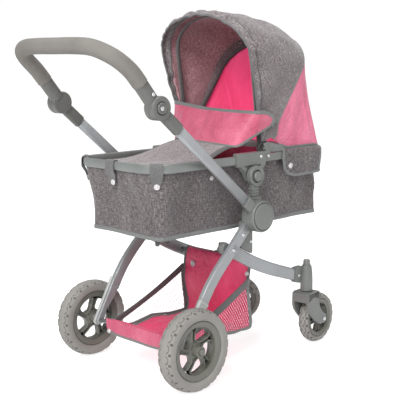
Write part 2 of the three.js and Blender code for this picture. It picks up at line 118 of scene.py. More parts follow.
def make_studio():
    world = bpy.data.worlds.new("studio")
    world.use_nodes = True
    world.node_tree.nodes["Background"].inputs["Color"].default_value = (1, 1, 1, 1)
    world.node_tree.nodes["Background"].inputs["Strength"].default_value = 0.6
    bpy.context.scene.world = world
    bpy.context.scene.view_settings.view_transform = "Standard"
    middle = (0, 0, 0.35)
    area_light("key", (-1.9, -1.0, 2.2), middle, 1.1, 62)
    area_light("front", (-2.2, -1.3, 1.5), (-0.05, 0, 0.5), 1.2, 36)
    area_light("fill", (1.4, -2.4, 1.2), middle, 2.0, 7)
    area_light("top", (0.3, 0.3, 2.8), middle, 1.6, 40)
    corners = [(-9e3, -9e3, -0.5), (9e3, -9e3, -0.5), (9e3, 9e3, -0.5), (-9e3, 9e3, -0.5)]
    look = plain("floor", (0.52, 0.52, 0.52), 0.9, 0.72)
    floor = mesh_object("floor", [at(*p) for p in corners], [(0, 1, 2, 3)], look)
    make_backdrop()


# ---- Materials ----


def graph(name):
    material = bpy.data.materials.new(name)
    material.use_nodes = True
    return material, material.node_tree.nodes["Principled BSDF"]


def node(material, kind, sockets=None, **settings):
    made = material.node_tree.nodes.new("ShaderNode" + kind)
    for key, value in settings.items():
        setattr(made, key, value)
    for key, value in (sockets or {}).items():
        if isinstance(value, bpy.types.NodeSocket):
            material.node_tree.links.new(value, made.inputs[key])
        else:
            made.inputs[key].default_value = value
    return made


def link(material, source, target):
    material.node_tree.links.new(source, target)


def rgba(colour):
    return (*(min(1, c) for c in colour), 1)


def plain(name, colour, roughness, glow=0.0):
    material, shader = graph(name)
    shader.inputs["Emission Color"].default_value = (1, 1, 1, 1)
    shader.inputs["Emission Strength"].default_value = glow
    shader.inputs["Base Color"].default_value = rgba(colour)
    shader.inputs["Roughness"].default_value = roughness
    return material


def place_of(material, stretch=(1, 1, 1)):
    """Object coordinates in metres, stretched along each axis."""
    coordinates = node(material, "TexCoord")
    sockets = {"Vector": coordinates.outputs["Object"], "Scale": stretch}
    return node(material, "Mapping", sockets).outputs["Vector"]


def noise_of(material, vector, scale, detail=3.0, roughness=0.55):
    sockets = {"Vector": vector, "Scale": scale, "Detail": detail, "Roughness": roughness}
    made = node(material, "TexNoise", sockets)
    return made.outputs["Fac"]


def ramp(material, factor, stops):
    made = node(material, "ValToRGB", {"Fac": factor})
    elements = made.color_ramp.elements
    while len(elements) < len(stops):
        elements.new(0.5)
    for element, (position, colour) in zip(elements, stops):
        element.position = position
        element.color = rgba(colour) if len(colour) == 3 else colour
    return made.outputs["Color"]


def bump(material, shader, height, strength, distance, under=None):
    sockets = {"Height": height, "Strength": strength, "Distance": distance}
    if under is not None:
        sockets["Normal"] = under
    made = node(material, "Bump", sockets)
    link(material, made.outputs["Normal"], shader.inputs["Normal"])
    return made.outputs["Normal"]


def moulded(name, colour, roughness=0.45, grain=0.12, metallic=0.0):
    """Painted metal or moulded plastic: a fine grain, a slow change of tone and faint handling marks."""
    material, shader = graph(name)
    vector = place_of(material)
    tone = noise_of(material, vector, 24, 2)
    scuff = 0.06
    low, high = tuple(c * (1 - scuff) for c in colour), tuple(min(1, c * (1 + scuff)) for c in colour)
    link(material, ramp(material, tone, [(0.3, low), (0.7, high)]), shader.inputs["Base Color"])
    marks = noise_of(material, place_of(material, (1, 1, 0.25)), 160, 5, 0.7)
    rough = ramp(material, marks, [(0.35, (roughness - 0.06,) * 3), (0.75, (roughness + 0.1,) * 3)])
    link(material, rough, shader.inputs["Roughness"])
    shader.inputs["Metallic"].default_value = metallic
    bump(material, shader, noise_of(material, vector, 1400, 2), grain, 0.0004)
    return material


def foam(name, colour, scale=700, depth=0.35):
    """Closed-cell foam: matt, with small pores."""
    material, shader = graph(name)
    vector = place_of(material)
    tone = noise_of(material, vector, 18, 3)
    low, high = tuple(c * 0.9 for c in colour), tuple(c * 1.08 for c in colour)
    link(material, ramp(material, tone, [(0.3, low), (0.7, high)]), shader.inputs["Base Color"])
    shader.inputs["Roughness"].default_value = 0.82
    pores = node(material, "TexVoronoi", {"Vector": vector, "Scale": scale}).outputs["Distance"]
    fine = bump(material, shader, pores, depth, 0.0005)
    bump(material, shader, noise_of(material, vector, 90, 3), 0.12, 0.002, fine)
    return material


def woven(name, stops, speck=400, thread=1.1, sheen=0.2, creases=0.25, contrast_scale=18, glow=None,
          gloss=0.0):
    """Cloth: slubs along both threads, a plain weave, a slow change of tone and soft creases.
    The slow change of tone is partly random tone and partly painted highlights and shade that stand in
    for folds, the more so on shinier cloth; a glow, when given, is painted light.
    UVs are in metres along the two threads."""
    material, shader = graph(name)
    uv = node(material, "TexCoord").outputs["UV"]
    warp = node(material, "Mapping", {"Vector": uv, "Scale": (1, 0.28, 1)}).outputs["Vector"]
    weft = node(material, "Mapping", {"Vector": uv, "Scale": (0.28, 1, 1)}).outputs["Vector"]
    along = noise_of(material, warp, speck, 2, 0.6)
    across = noise_of(material, weft, speck * 1.1, 2, 0.6)
    slubs = node(material, "Mix", {"Factor": 0.5, 2: along, 3: across}).outputs[0]
    stretched = node(material, "Mapping", {"Vector": uv, "Scale": (1, 0.4, 1)}).outputs["Vector"]
    # Slow noise in the base colour: partly random tone, partly painted highlights and shade standing in for
    # folds; shinier cloth takes more of it.
    slow = noise_of(material, stretched, contrast_scale, 3)
    mixed = node(material, "Mix", {"Factor": 0.18 + 0.3 * gloss, 2: slubs, 3: slow}).outputs[0]
    link(material, ramp(material, mixed, stops), shader.inputs["Base Color"])
    shader.inputs["Roughness"].default_value = 0.88 - 0.4 * gloss
    shader.inputs["Sheen Weight"].default_value = sheen
    shader.inputs["Sheen Roughness"].default_value = 0.5
    shader.inputs["Specular IOR Level"].default_value = 0.2 + 0.4 * gloss
    # The emission is painted light: the cloth glows as if lit where no lamp reaches.
    if glow is not None:
        shader.inputs["Emission Color"].default_value = rgba(glow)
        shader.inputs["Emission Strength"].default_value = 1.0
    parts = node(material, "SeparateXYZ", {"Vector": uv})
    waves = []
    for axis in ("X", "Y"):
        angle = node(material, "Math", {0: parts.outputs[axis], 1: TURN / (2 * thread * MM)},
                     operation="MULTIPLY")
        waves.append(node(material, "Math", {0: angle.outputs[0]}, operation="SINE").outputs[0])
    weave = node(material, "Math", {0: waves[0], 1: waves[1]}, operation="MULTIPLY").outputs[0]
    fine = bump(material, shader, weave, 0.25, 0.0003)
    slub = bump(material, shader, slubs, 0.3, 0.0006, fine)
    bump(material, shader, noise_of(material, uv, 42, 3, 0.5), creases, 0.004, slub)
    return material


def ribbon(name, colour):
    """Grosgrain tape: fine ribs across it."""
    material, shader = graph(name)
    vector = place_of(material)
    tone = noise_of(material, vector, 350, 3)
    low, high = tuple(c * 0.8 for c in colour), tuple(min(1, c * 1.18) for c in colour)
    link(material, ramp(material, tone, [(0.3, low), (0.7, high)]), shader.inputs["Base Color"])
    shader.inputs["Roughness"].default_value = 0.8
    shader.inputs["Sheen Weight"].default_value = 0.15
    bump(material, shader, noise_of(material, vector, 1100, 2), 0.3, 0.0005)
    return material


def netting(name, colour):
    """Knitted net: round holes in staggered rows, seen through."""
    material, shader = graph(name)
    uv = node(material, "TexCoord").outputs["UV"]
    turned = node(material, "Mapping", {"Vector": uv, "Rotation": (0, 0, math.radians(38))}).outputs["Vector"]
    parts = node(material, "SeparateXYZ", {"Vector": turned})
    waves = []
    pitch = 4.6
    for axis in ("X", "Y"):
        angle = node(material, "Math", {0: parts.outputs[axis], 1: TURN / (pitch * MM)}, operation="MULTIPLY")
        waves.append(node(material, "Math", {0: angle.outputs[0]}, operation="COSINE").outputs[0])
    both = node(material, "Math", {0: waves[0], 1: waves[1]}, operation="ADD").outputs[0]
    knots = node(material, "Math", {0: both, 1: -1.3}, operation="LESS_THAN").outputs[0]
    lower = node(material, "Math", {0: waves[0], 1: waves[1]}, operation="MINIMUM").outputs[0]
    lines = node(material, "Math", {0: lower, 1: -0.975}, operation="LESS_THAN").outputs[0]
    thread = node(material, "Math", {0: knots, 1: lines}, operation="MAXIMUM").outputs[0]
    shader.inputs["Base Color"].default_value = rgba(colour)
    shader.inputs["Roughness"].default_value = 0.7
    link(material, thread, shader.inputs["Alpha"])
    return material


MATERIALS = {}


def make_materials():
    # Scales a cloth's colours brighter or darker; the cot lining's copy is darkened as painted shade.
    def tinted(stops, gain):
        return [(position, tuple(c * gain for c in colour)) for position, colour in stops]

    heather = [(0.3, (0.026, 0.021, 0.023)), (0.43, (0.076, 0.062, 0.065)), (0.52, (0.13, 0.113, 0.116)),
               (0.6, (0.21, 0.188, 0.192)), (0.7, (0.36, 0.335, 0.34))]
    lining = [(0.3, (0.08, 0.035, 0.042)), (0.42, (0.19, 0.092, 0.103)), (0.54, (0.33, 0.18, 0.197)),
              (0.7, (0.62, 0.39, 0.42))]
    pale = [(0.3, (0.056, 0.049, 0.051)), (0.44, (0.145, 0.127, 0.130)), (0.56, (0.23, 0.204, 0.208)),
            (0.7, (0.44, 0.40, 0.405))]
    # On the shinier pinks the gap between the light and dark ends, mottled by the slow noise, is partly
    # painted highlights and shade on folds.
    pink = [(0.36, (0.52, 0.020, 0.085)), (0.64, (0.72, 0.045, 0.15))]
    deep_pink = [(0.3, (0.80, 0.045, 0.16)), (0.7, (0.92, 0.075, 0.22))]
    soft_pink = [(0.36, (0.32, 0.026, 0.07)), (0.64, (0.51, 0.112, 0.186))]
    # A lighter copy of the wind flap's soft pink: painted light on the outside of the hood's rear.
    rear_pink = [(0.36, (0.41, 0.052, 0.115)), (0.64, (0.62, 0.155, 0.262))]
    MATERIALS.update(
        rail=moulded("satin_rail", (0.232, 0.242, 0.249), 0.36, 0.05, 0.3),
        # A darker copy of the satin rail finish for the cot's rim tubes: painted shade.
        rim_rail=moulded("rim_rail", (0.155, 0.166, 0.16), 0.36, 0.05, 0.3),
        plastic=moulded("grey_plastic", (0.114, 0.119, 0.113), 0.42),
        dark_plastic=moulded("dark_grey_plastic", (0.085, 0.087, 0.08), 0.42),
        pale_plastic=moulded("pale_plastic", (0.33, 0.34, 0.325), 0.42),
        wheel=moulded("wheel_plastic", (0.103, 0.103, 0.088), 0.4),
        steel=moulded("screw_steel", (0.5, 0.51, 0.52), 0.25, 0.03, 0.9),
        tyre=foam("tyre_foam", (0.194, 0.187, 0.174), 620, 0.25),
        # Darker foam for the pits and grooves: painted shade in the tyre's hollows.
        tyre_pit=foam("tyre_pit_foam", (0.085, 0.081, 0.075), 620, 0.25),
        grip=foam("grip_foam", (0.135, 0.126, 0.115), 520, 0.4),
        heather=woven("heather_cloth", tinted(heather, 1.12)),
        cot_cloth=woven("cot_cloth", tinted(heather, 0.74), creases=0.9),
        lining=woven("heather_lining", lining),
        pale=woven("apron_cloth", pale, creases=0.35),
        pink=woven("pink_cloth", pink, 500, 0.7, 0.1, 1.0, 20, None, 1.0),
        # The basket pink at a third of its brightness: painted shade inside the cot.
        shade_pink=woven("shade_pink_cloth", tinted(pink, 0.3), 500, 0.7, 0.2, 0.5, 9),
        # The hood's inside is this deep pink with a painted glow: emission standing in for light inside the
        # hood.
        deep_pink=woven("deep_pink_cloth", deep_pink, 500, 0.7, 0.2, 0.6, 9, (0.2, 0.02, 0.058), 0.5),
        soft_pink=woven("soft_pink_cloth", soft_pink, 500, 0.7, 0.1, 0.9, 20, None, 1.0),
        rear_pink=woven("rear_pink_cloth", rear_pink, 500, 0.7, 0.1, 0.9, 20, None, 1.0),
        lining_pad=woven("pad_cloth", soft_pink, 500, 0.9, 0.2, 0.3, 9),
        binding=ribbon("grey_binding", (0.115, 0.12, 0.118)),
        strap=ribbon("strap_tape", (0.065, 0.062, 0.064)),
        strap_light=ribbon("tab_tape", (0.088, 0.087, 0.088)),
        net=netting("net", (0.78, 0.50, 0.58)),
        snap=moulded("snap_metal", (0.46, 0.44, 0.445), 0.3, 0.02, 0.2),
    )


# ---- Pieces ----


def mesh_object(name, points, faces, material, flat_angle=35):
    mesh = bpy.data.meshes.new(name)
    mesh.from_pydata([tuple(p) for p in points], [], faces)
    mesh.materials.append(material)
    mesh.validate()
    smooth(mesh, flat_angle)
    made = bpy.data.objects.new(name, mesh)
    bpy.context.collection.objects.link(made)
    return made


def smooth(mesh, flat_angle=35):
    mesh.polygons.foreach_set("use_smooth", [True] * len(mesh.polygons))
    mesh.set_sharp_from_angle(angle=math.radians(flat_angle))


def settle(made, body, replaced=()):
    """Says what the piece rides on and which CAD nodes it stands for.
    A body given as (one, other, start, end) names the joint that the piece spans; such a piece is left
    unattached, its transform baked into its mesh."""
    if isinstance(body, str):
        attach(made, body)
    else:
        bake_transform(made)
    if replaced:
        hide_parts(*replaced)
    return made


def rounded(made, width, segments=2, angle=35):
    bevel = made.modifiers.new("edges", "BEVEL")
    bevel.width = width * MM
    bevel.segments = segments
    bevel.limit_method = "ANGLE"
    bevel.angle_limit = math.radians(angle)
    bevel.harden_normals = False
    made.modifiers.new("normals", "WEIGHTED_NORMAL")
    return made


def shape_object(name, shapes, material, body, replaced=(), flat_angle=35):
    """One object from several (points, faces) shapes in millimetres."""
    points, faces = [], []
    for shape_points, shape_faces in shapes:
        start = len(points)
        points += [at(*p) for p in shape_points]
        faces += [tuple(i + start for i in face) for face in shape_faces]
    made = mesh_object(name, points, faces, MATERIALS[material], flat_angle)
    return settle(made, body, replaced)


def turned(shape, matrix):
    points, faces = shape
    return [tuple(matrix @ Vector(p)) for p in points], faces


def mirrored(shape):
    points, faces = shape
    return [(x, -y, z) for x, y, z in points], [tuple(reversed(face)) for face in faces]


def for_side(shape, side):
    return shape if side > 0 else mirrored(shape)


def shifted(shape, x, y, z):
    points, faces = shape
    return [(px + x, py + y, pz + z) for px, py, pz in points], faces


def revolve(profile, count=64):
    """A body of revolution about the Y axis. The profile is a list of (radius, y): it closes on itself,
    or starts and ends at radius 0."""
    open_ends = profile[0][0] == 0 and profile[-1][0] == 0
    inner = profile[1:-1] if open_ends else profile
    points, faces = [], []
    for n in range(count):
        angle = TURN * n / count
        points += [(r * math.sin(angle), y, r * math.cos(angle)) for r, y in inner]
    size = len(inner)
    for n in range(count):
        here, there = n * size, (n + 1) % count * size
        for k in range(size - 1 if open_ends else size):
            m = (k + 1) % size
            faces.append((here + k, there + k, there + m, here + m))
    if open_ends:
        first, last = len(points), len(points) + 1
        points += [(0, profile[0][1], 0), (0, profile[-1][1], 0)]
        for n in range(count):
            here, there = n * size, (n + 1) % count * size
            faces.append((first, there, here))
            faces.append((last, here + size - 1, there + size - 1))
    return oriented((points, faces))


def oriented(shape):
    """The shape with its faces turned outwards."""
    points, faces = shape
    volume = 0.0
    for face in faces:
        a = Vector(points[face[0]])
        for k in range(1, len(face) - 1):
            volume += a.dot(Vector(points[face[k]]).cross(Vector(points[face[k + 1]])))
    return shape if volume >= 0 else (points, [tuple(reversed(face)) for face in faces])


def plate(outline, near, far):
    """A plate whose outline is drawn in the side view (x, z), between two planes across the width."""
    size = len(outline)
    points = [(x, near, z) for x, z in outline] + [(x, far, z) for x, z in outline]
    faces = [tuple(range(size)), tuple(reversed(range(size, 2 * size)))]
    faces += [(k, k + size, (k + 1) % size + size, (k + 1) % size) for k in range(size)]
    return oriented((points, faces))


def arc(x, z, radius, start, end, count=10):
    """Points along an arc in the side view, angles in degrees above +X."""
    angles = [math.radians(start + (end - start) * n / count) for n in range(count + 1)]
    return [(x + radius * math.cos(a), z + radius * math.sin(a)) for a in angles]


def smooth_path(points, count, closed=False):
    """A Catmull-Rom curve through the points, resampled to count even steps."""
    vectors = [Vector(p) for p in points]
    fine = []
    last = len(vectors) if closed else len(vectors) - 1
    for n in range(last):
        if closed:
            a, b, c, d = (vectors[(n + k) % len(vectors)] for k in (-1, 0, 1, 2))
        else:
            a, b, c, d = (vectors[min(max(n + k, 0), len(vectors) - 1)] for k in (-1, 0, 1, 2))
        for step in range(16):
            t = step / 16
            fine.append(0.5 * (2 * b + (c - a) * t + (2 * a - 5 * b + 4 * c - d) * t**2
                               + (3 * b - a - 3 * c + d) * t**3))
    fine.append(vectors[0] if closed else vectors[-1])
    lengths = [0.0]
    for before, after in zip(fine, fine[1:]):
        lengths.append(lengths[-1] + (after - before).length)
    made, k = [], 0
    for n in range(count + 1):
        wanted = lengths[-1] * n / count
        while k < len(fine) - 2 and lengths[k + 1] < wanted:
            k += 1
        span = lengths[k + 1] - lengths[k]
        made.append(fine[k].lerp(fine[k + 1], (wanted - lengths[k]) / span if span else 0))
    return made[:-1] if closed else made


def ring_faces(count, size, closed):
    """The faces between rings of points, with a cap at each end of an open run."""
    faces = []
    for n in range(count if closed else count - 1):
        here, there = n * size, (n + 1) % count * size
        faces += [(here + k, here + (k + 1) % size, there + (k + 1) % size, there + k) for k in range(size)]
    if not closed:
        faces += [tuple(reversed(range(size))), tuple(range((count - 1) * size, count * size))]
    return faces


def sweep(path, section, across=Vector((0, 1, 0)), closed=False):
    """A section of (across, up) points carried along a path of vectors, kept level with across."""
    points = []
    count, size = len(path), len(section)
    for n, centre in enumerate(path):
        before = path[n - 1] if n or closed else path[0]
        after = path[(n + 1) % count] if n < count - 1 or closed else path[-1]
        ahead = (after - before).normalized()
        side = (across - ahead * across.dot(ahead)).normalized()
        up = ahead.cross(side)
        points += [tuple(centre + side * a + up * b) for a, b in section]
    return oriented((points, ring_faces(count, size, closed)))


def circle(radius, count=16):
    return [(radius * math.cos(TURN * n / count), radius * math.sin(TURN * n / count)) for n in range(count)]


def stadium(across, height, count=8):
    """A flat oval section, its long way up."""
    r, flat = across / 2, (height - across) / 2
    top = [(r * math.cos(math.pi * n / count), flat + r * math.sin(math.pi * n / count))
           for n in range(count + 1)]
    return top + [(-a, -b) for a, b in top]


# ---- Wheels ----

WHEEL_PHASE = {"L": 8.0, "R": 23.5}


def tyre(radius, seat, half, notches):
    """A foam tyre: rounded shoulders, each with a ring of small pits and a shallow wavy groove beside it."""
    columns = notches * 16
    wall = [(seat, 0.78), (seat + 1.2, 0.9), (seat + 4, 0.98), (seat + 0.45 * (radius - seat), 1.0),
            (radius - 7, 0.99), (radius - 5, 0.96)]
    tread = [(radius * 1.0 - 0.9 * (1 - share) ** 2 * 4.2, 0.92 - 0.92 * share)
             for share in (0, 0.08, 0.16, 0.24, 0.32, 0.4, 0.48, 0.56, 0.7, 0.85, 1)]
    profile = [(r, -half * y) for r, y in wall + tread]
    profile += [(r, -y) for r, y in reversed(profile[:-1])]
    points, faces, depths = [], [], []
    for n in range(columns):
        angle = TURN * n / columns
        phase = n / 16
        for r, y in profile:
            inwards = half * 0.93 - abs(y)
            shift = phase + (0.5 if y > 0 else 0)
            off = (shift - round(shift)) * TURN * radius / notches
            depth = 0.0
            if r > radius - 7:
                depth += 3.6 * math.exp(-((off / 2.3) ** 2) - ((inwards - 1.6) / 2.0) ** 2)
                wave = 6.4 + 2.6 * math.cos(TURN * shift) + 0.8 * math.cos(2 * TURN * shift)
                depth += 1.5 * math.exp(-(((inwards - wave) / 1.1) ** 2))
            points.append(((r - depth) * math.sin(angle), y, (r - depth) * math.cos(angle)))
            depths.append(depth)
    size = len(profile)
    for n in range(columns):
        here, there = n * size, (n + 1) % columns * size
        faces += [(here + k, there + k, there + (k + 1) % size, here + (k + 1) % size) for k in range(size)]
    # Faces deep in a pit or groove; these take the painted shade.
    pits = [sum(depths[k] for k in face) / 4 > 0.75 for face in faces]
    return oriented((points, faces)), pits


def make_tyre(name, place, sizes, body, replaced):
    """A tyre whose pits and grooves are painted darker than its skin: painted shade in the hollows."""
    shape, pits = tyre(*sizes)
    made = shape_object(name, place([shape]), "tyre", body, [replaced])
    made.data.materials.append(MATERIALS["tyre_pit"])
    for polygon, pit in zip(made.data.polygons, pits):
        polygon.material_index = int(pit)


def opening_loop(n, hub, rim, phase):
    """The closed outline of one opening between two spokes, in the wheel's plane."""
    ladder = [(hub, 0.0), (hub + 0.2 * (rim - hub), 0.17), (hub + 0.45 * (rim - hub), 0.145),
              (hub + 0.75 * (rim - hub), 0.125), (hub + 0.94 * (rim - hub), 0.19)]

    def spot(radius, side, gap=None):
        lean = 15 * (1 - (radius - hub) / (rim - hub)) ** 1.3
        reach = 0 if gap is None else 36 - math.degrees(gap)
        angle = math.radians(phase + 36 + 72 * n + lean + side * reach)
        return radius * math.cos(angle), 0, radius * math.sin(angle)

    loop = [spot(hub, 0)]
    loop += [spot(r, -1, gap) for r, gap in ladder[1:]]
    loop += [spot(rim, side, 0.3) for side in (-0.75, 0, 0.75)]
    loop += [spot(r, 1, gap) for r, gap in reversed(ladder[1:])]
    return smooth_path(loop, 64, closed=True)


def spoked_rim(seat, half, inner, hub, boss, reach, scale, phase):
    """A dished ring, a hub and five spokes, each a web between two raised ribs."""
    ring = [(seat - 0.5, 0.98 * half), (seat - 1.6, half + 0.9), (seat - 4, half + 0.5),
            (seat - 6.5, 0.9 * half), (inner + 2.2, 0.88 * half), (inner + 0.6, 0.8 * half),
            (inner, 0.66 * half)]
    ring = ring + [(inner + 0.4, 0), (inner, -0.66 * half)] + [(r, -y) for r, y in reversed(ring[:-1])]
    shapes = [revolve(ring, 96)]
    hubs = [(0, -reach), (boss - 1, -reach), (boss, -reach + 1), (boss + 1.2, 0), (boss, reach - 1),
            (boss - 1, reach), (0, reach)]
    shapes.append(revolve(hubs, 40))
    loops = [opening_loop(n, hub + 3.5 * scale, inner - 0.6 * scale, phase) for n in range(5)]
    rib, high, web = 0.95 * scale, 0.46 * half, 0.13 * half
    for loop in loops:
        shapes.append(sweep([Vector(p) for p in loop],
                            [(-high, -rib), (high, -rib), (high, rib), (-high, rib)], closed=True))
    for n, loop in enumerate(loops):
        following = loops[(n + 1) % 5]
        right = [(p.x, p.z) for p in following[0:30]]
        left = [(p.x, p.z) for p in [loop[0]] + loop[:34:-1]]
        for k in range(min(len(left), len(right)) - 1):
            shapes.append(plate([right[k], right[k + 1], left[k + 1], left[k]], -web, web))
    core = [(boss - 1, 0.42 * half), (hub + 4.4 * scale, 0.16 * half), (hub + 4.4 * scale, -0.16 * half),
            (boss - 1, -0.42 * half)]
    shapes.append(revolve(core, 60))
    return shapes


def make_rear_wheels():
    centre_height = 77.5
    for letter, side in SIDES.items():
        def placed(shapes):
            return [shifted(for_side(s, side), 0, side * 152, centre_height) for s in shapes]

        body = f"rear_wheel_{letter}"
        make_tyre(f"rear_tyre_fine_{letter}", placed, (77.5, 56.3, 17, 24), body, f"rear_tyre_{letter}")
        rim = spoked_rim(56.3, 13.5, 44.4, 12.5, 10.4, 17.3, 1.0, WHEEL_PHASE[letter])
        made = shape_object(f"rear_rim_fine_{letter}", placed(rim), "wheel", body,
                            [f"rear_rim_{letter}"])
        made.data.validate()
        cap = [(0, 17.6), (10.4, 17.6), (10.6, 19.4), (9.8, 20.2), (7.2, 20.2), (6.8, 19.4), (6.4, 20),
               (6.4, 23.4), (5.6, 24.4), (0, 24.5)]
        shape_object(f"rear_cap_fine_{letter}", placed([revolve(cap, 48)]), "wheel", body,
                     [f"rear_hub_cap_{letter}"])


CASTER = {"x": 353, "y": 125, "trail": 37, "height": 52.6}
CASTER_TURNS = {"R": 5, "L": -41.5}


def fork_shapes():
    """The fork in its own frame: the swivel axis at the origin, the axle ahead of it along X."""
    back = [(-21.5, 116), (-22.5, 92), (-19, 80), (-8, 66), (8, 52), (24, 43)]
    front = [(49, 59), (36, 66), (25, 77), (19, 92), (18.5, 116)]
    toe = arc(CASTER["trail"], CASTER["height"], 9.5, 240, 400, 12)
    outline = [(p.x, p.z) for p in smooth_path([(x, 0, z) for x, z in back], 14)]
    outline += toe + [(p.x, p.z) for p in smooth_path([(x, 0, z) for x, z in front], 12)]
    leg = plate(outline, 15.2, 20.8)
    saddle = [(-21, 114), (-22, 96), (-17, 99), (0, 105.5), (14, 101), (22, 94), (21, 114), (16, 117.5),
              (-16, 117.5)]
    return [leg, mirrored(leg), plate(saddle, -20.8, 20.8)]


def make_casters():
    for letter, side in SIDES.items():
        swivel = Matrix.Rotation(math.radians(CASTER_TURNS[letter]), 4, "Z")
        place = Matrix.Translation((CASTER["x"], side * CASTER["y"], 0)) @ swivel

        def placed(shapes):
            return [turned(shape, place) for shape in shapes]

        def on_axle(shapes):
            return placed([shifted(shape, CASTER["trail"], 0, CASTER["height"]) for shape in shapes])

        fork = shape_object(f"caster_fork_fine_{letter}", placed(fork_shapes()), "plastic",
                            f"caster_{letter}", [f"caster_fork_{letter}"])
        rounded(fork, 2.4, 3, 40)
        bolt = [(0, -24), (3.2, -23.6), (4.6, -22.4), (4.8, -20.6), (4.8, 20.6), (4.6, 22.4), (3.2, 23.6),
                (0, 24)]
        shape_object(f"caster_bolt_{letter}", on_axle([revolve(bolt, 24)]), "steel", f"caster_{letter}")
        body = f"front_wheel_{letter}"
        make_tyre(f"front_tyre_fine_{letter}", on_axle, (52.6, 40.7, 12, 18), body, f"front_tyre_{letter}")
        rim = spoked_rim(40.7, 9.8, 31.5, 9, 8.0, 12.4, 0.75, 50)
        shape_object(f"front_rim_fine_{letter}", on_axle(rim), "wheel", body,
                     [f"front_rim_{letter}"])


def upright(profile):
    """A body of revolution about the Z axis, its profile a list of (radius, z)."""
    return turned(revolve(profile, 48), Matrix.Rotation(math.radians(90), 4, "X"))


def make_caster_posts():
    for letter, side in SIDES.items():
        x, y = CASTER["x"], side * CASTER["y"]
        housing = [(0, 118.2), (12.6, 118.2), (13, 119.5), (12.9, 140), (12, 160), (10.2, 171), (9, 173),
                   (0, 173)]
        neck = for_side(plate([(346, 171), (335, 171.5), (321.8, 170), (321.8, 140), (336, 136.5),
                               (348, 136)], 108.8, 122), side)
        shapes = [shifted(upright(housing), x, y, 0), neck]
        made = shape_object(f"caster_housing_fine_{letter}", shapes, "plastic", "front_frame",
                            [f"caster_housing_{letter}"])
        rounded(made, 1.6, 3, 50)
        cap = [(0, 172), (8, 172), (8, 175.5), (7.2, 176), (7.0, 182.5), (6, 184), (0, 184.2)]
        collar = [(0, 117.3), (9.5, 117.3), (9.5, 118.6), (0, 118.6)]
        stem = [shifted(upright(cap), x, y, 0), shifted(upright(collar), x, y, 0)]
        shape_object(f"caster_cap_fine_{letter}", stem, "plastic", f"caster_{letter}",
                     [f"caster_stem_{letter}"])


# ---- Screws ----


def screw(x, y, z, side, radius=3.4):
    """A domed screw head with a cross recess, standing out from a face across the width."""
    dome = [(0, -1), (radius, -1), (radius, 0.1), (0.86 * radius, 0.8), (0.5 * radius, 1.25),
            (0.22 * radius, 0.7), (0, 0.3)]
    return shifted(for_side(revolve(dome, 24), side), x, side * y, z)


# Each screw's x, distance from the middle plane and z, and the body that it holds together
SCREWS = [
    (-87.5, 151.6, 544, "push_handle"),
    (-37, 144.2, 491, "push_frame"),
    (155, 144.2, 327, "push_frame"),
    (152, 133.0, 266, "chassis"),
    (125, 134.0, 240, "chassis"),
    (186, 121.0, 247, "chassis"),
    (213, 123.2, 412, "carrycot"),
    (238, 120.0, 411, "carrycot"),
    (333, 122.2, 153, "front_frame"),
]


def make_screws():
    for letter, side in SIDES.items():
        for n, (x, y, z, body) in enumerate(SCREWS):
            shape_object(f"screw_{n}_{letter}", [screw(x, y, z, side)], "steel", body)


# ---- Frame ----


def restyle():
    """The frame's CAD pieces keep their shapes: they are welded, shaded smooth and take a finish."""
    looks = {
        "rail": ["push_arm_L", "push_arm_R", "rear_leg_L", "rear_leg_R", "front_crossbar"],
        "steel": ["rear_axle"],
        "strap": ["hood_bow_front", "hood_bow_rear"],
    }
    for look, names in looks.items():
        for name in names:
            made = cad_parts[name]
            made.data.materials.clear()
            made.data.materials.append(MATERIALS[look])
            weld = made.modifiers.new("weld", "WELD")
            weld.merge_threshold = 0.00001
            smooth(made.data, 38)


def make_front_legs():
    for letter, side in SIDES.items():
        top = smooth_path([(117.8, 0, 254), (132, 0, 249.5), (160, 0, 236), (206, 0, 213), (256, 0, 192),
                           (322, 0, 169)], 28)
        low = smooth_path([(322, 0, 143), (250, 0, 167), (195, 0, 190), (146, 0, 216), (132, 0, 223.5),
                           (117.8, 0, 229)], 28)
        leg = for_side(plate([(p.x, p.z) for p in top + low], 109.5, 120.5), side)
        made = shape_object(f"front_leg_fine_{letter}", [leg], "rail", "front_frame",
                            [f"front_leg_{letter}"])
        rounded(made, 3.6, 4, 50)
        heel = [(122, 255), (114, 254.5), (109.5, 251.5), (107.8, 246), (107.8, 237), (110, 232.5),
                (114, 230), (122, 227)]
        plug = for_side(plate(heel, 109.0, 121.0), side)
        made = shape_object(f"leg_plug_fine_{letter}", [plug], "plastic", "front_frame",
                            [f"front_leg_plug_{letter}"])
        rounded(made, 2.2, 3, 40)


def make_leg_sockets():
    """Each rear leg runs on down to the axle, with a pale socket over its outer half."""
    for letter, side in SIDES.items():
        foot = [(53.5, 149), (37.5, 158), (35.5, 154), (28, 141), (1, 93), (-7, 80)]
        foot += arc(0, 77.5, 10, 200, 330, 10) + [(17, 95), (42, 124), (50, 139)]
        rail = for_side(plate(foot, 121.9, 128.0), side)
        made = shape_object(f"rear_leg_foot_{letter}", [rail], "rail", "chassis")
        rounded(made, 2.4, 3, 40)
        outline = [(54.5, 149), (37, 160), (32.5, 154), (25, 140), (-2, 92), (-9, 80)]
        outline += arc(0, 77.5, 12, 200, 330, 10) + [(19, 95), (42, 124), (50, 139)]
        socket = for_side(plate(outline, 127.6, 134.6), side)
        lip = for_side(plate([(56.5, 147.5), (36.5, 161), (33.5, 155), (53, 141)], 128.4, 135.4), side)
        made = shape_object(f"leg_socket_fine_{letter}", [socket, lip], "pale_plastic", "chassis",
                            [f"rear_leg_socket_{letter}"])
        rounded(made, 2.2, 3, 40)


HUB = (188, 300)
HANDLE = (-71, 520)
RECLINE = (193, 376)


def around(profile, x, z, side, count=72):
    return shifted(for_side(revolve(profile, count), side), x, 0, z)


def unit(start, end):
    length = math.dist(start, end)
    return (end[0] - start[0]) / length, (end[1] - start[1]) / length


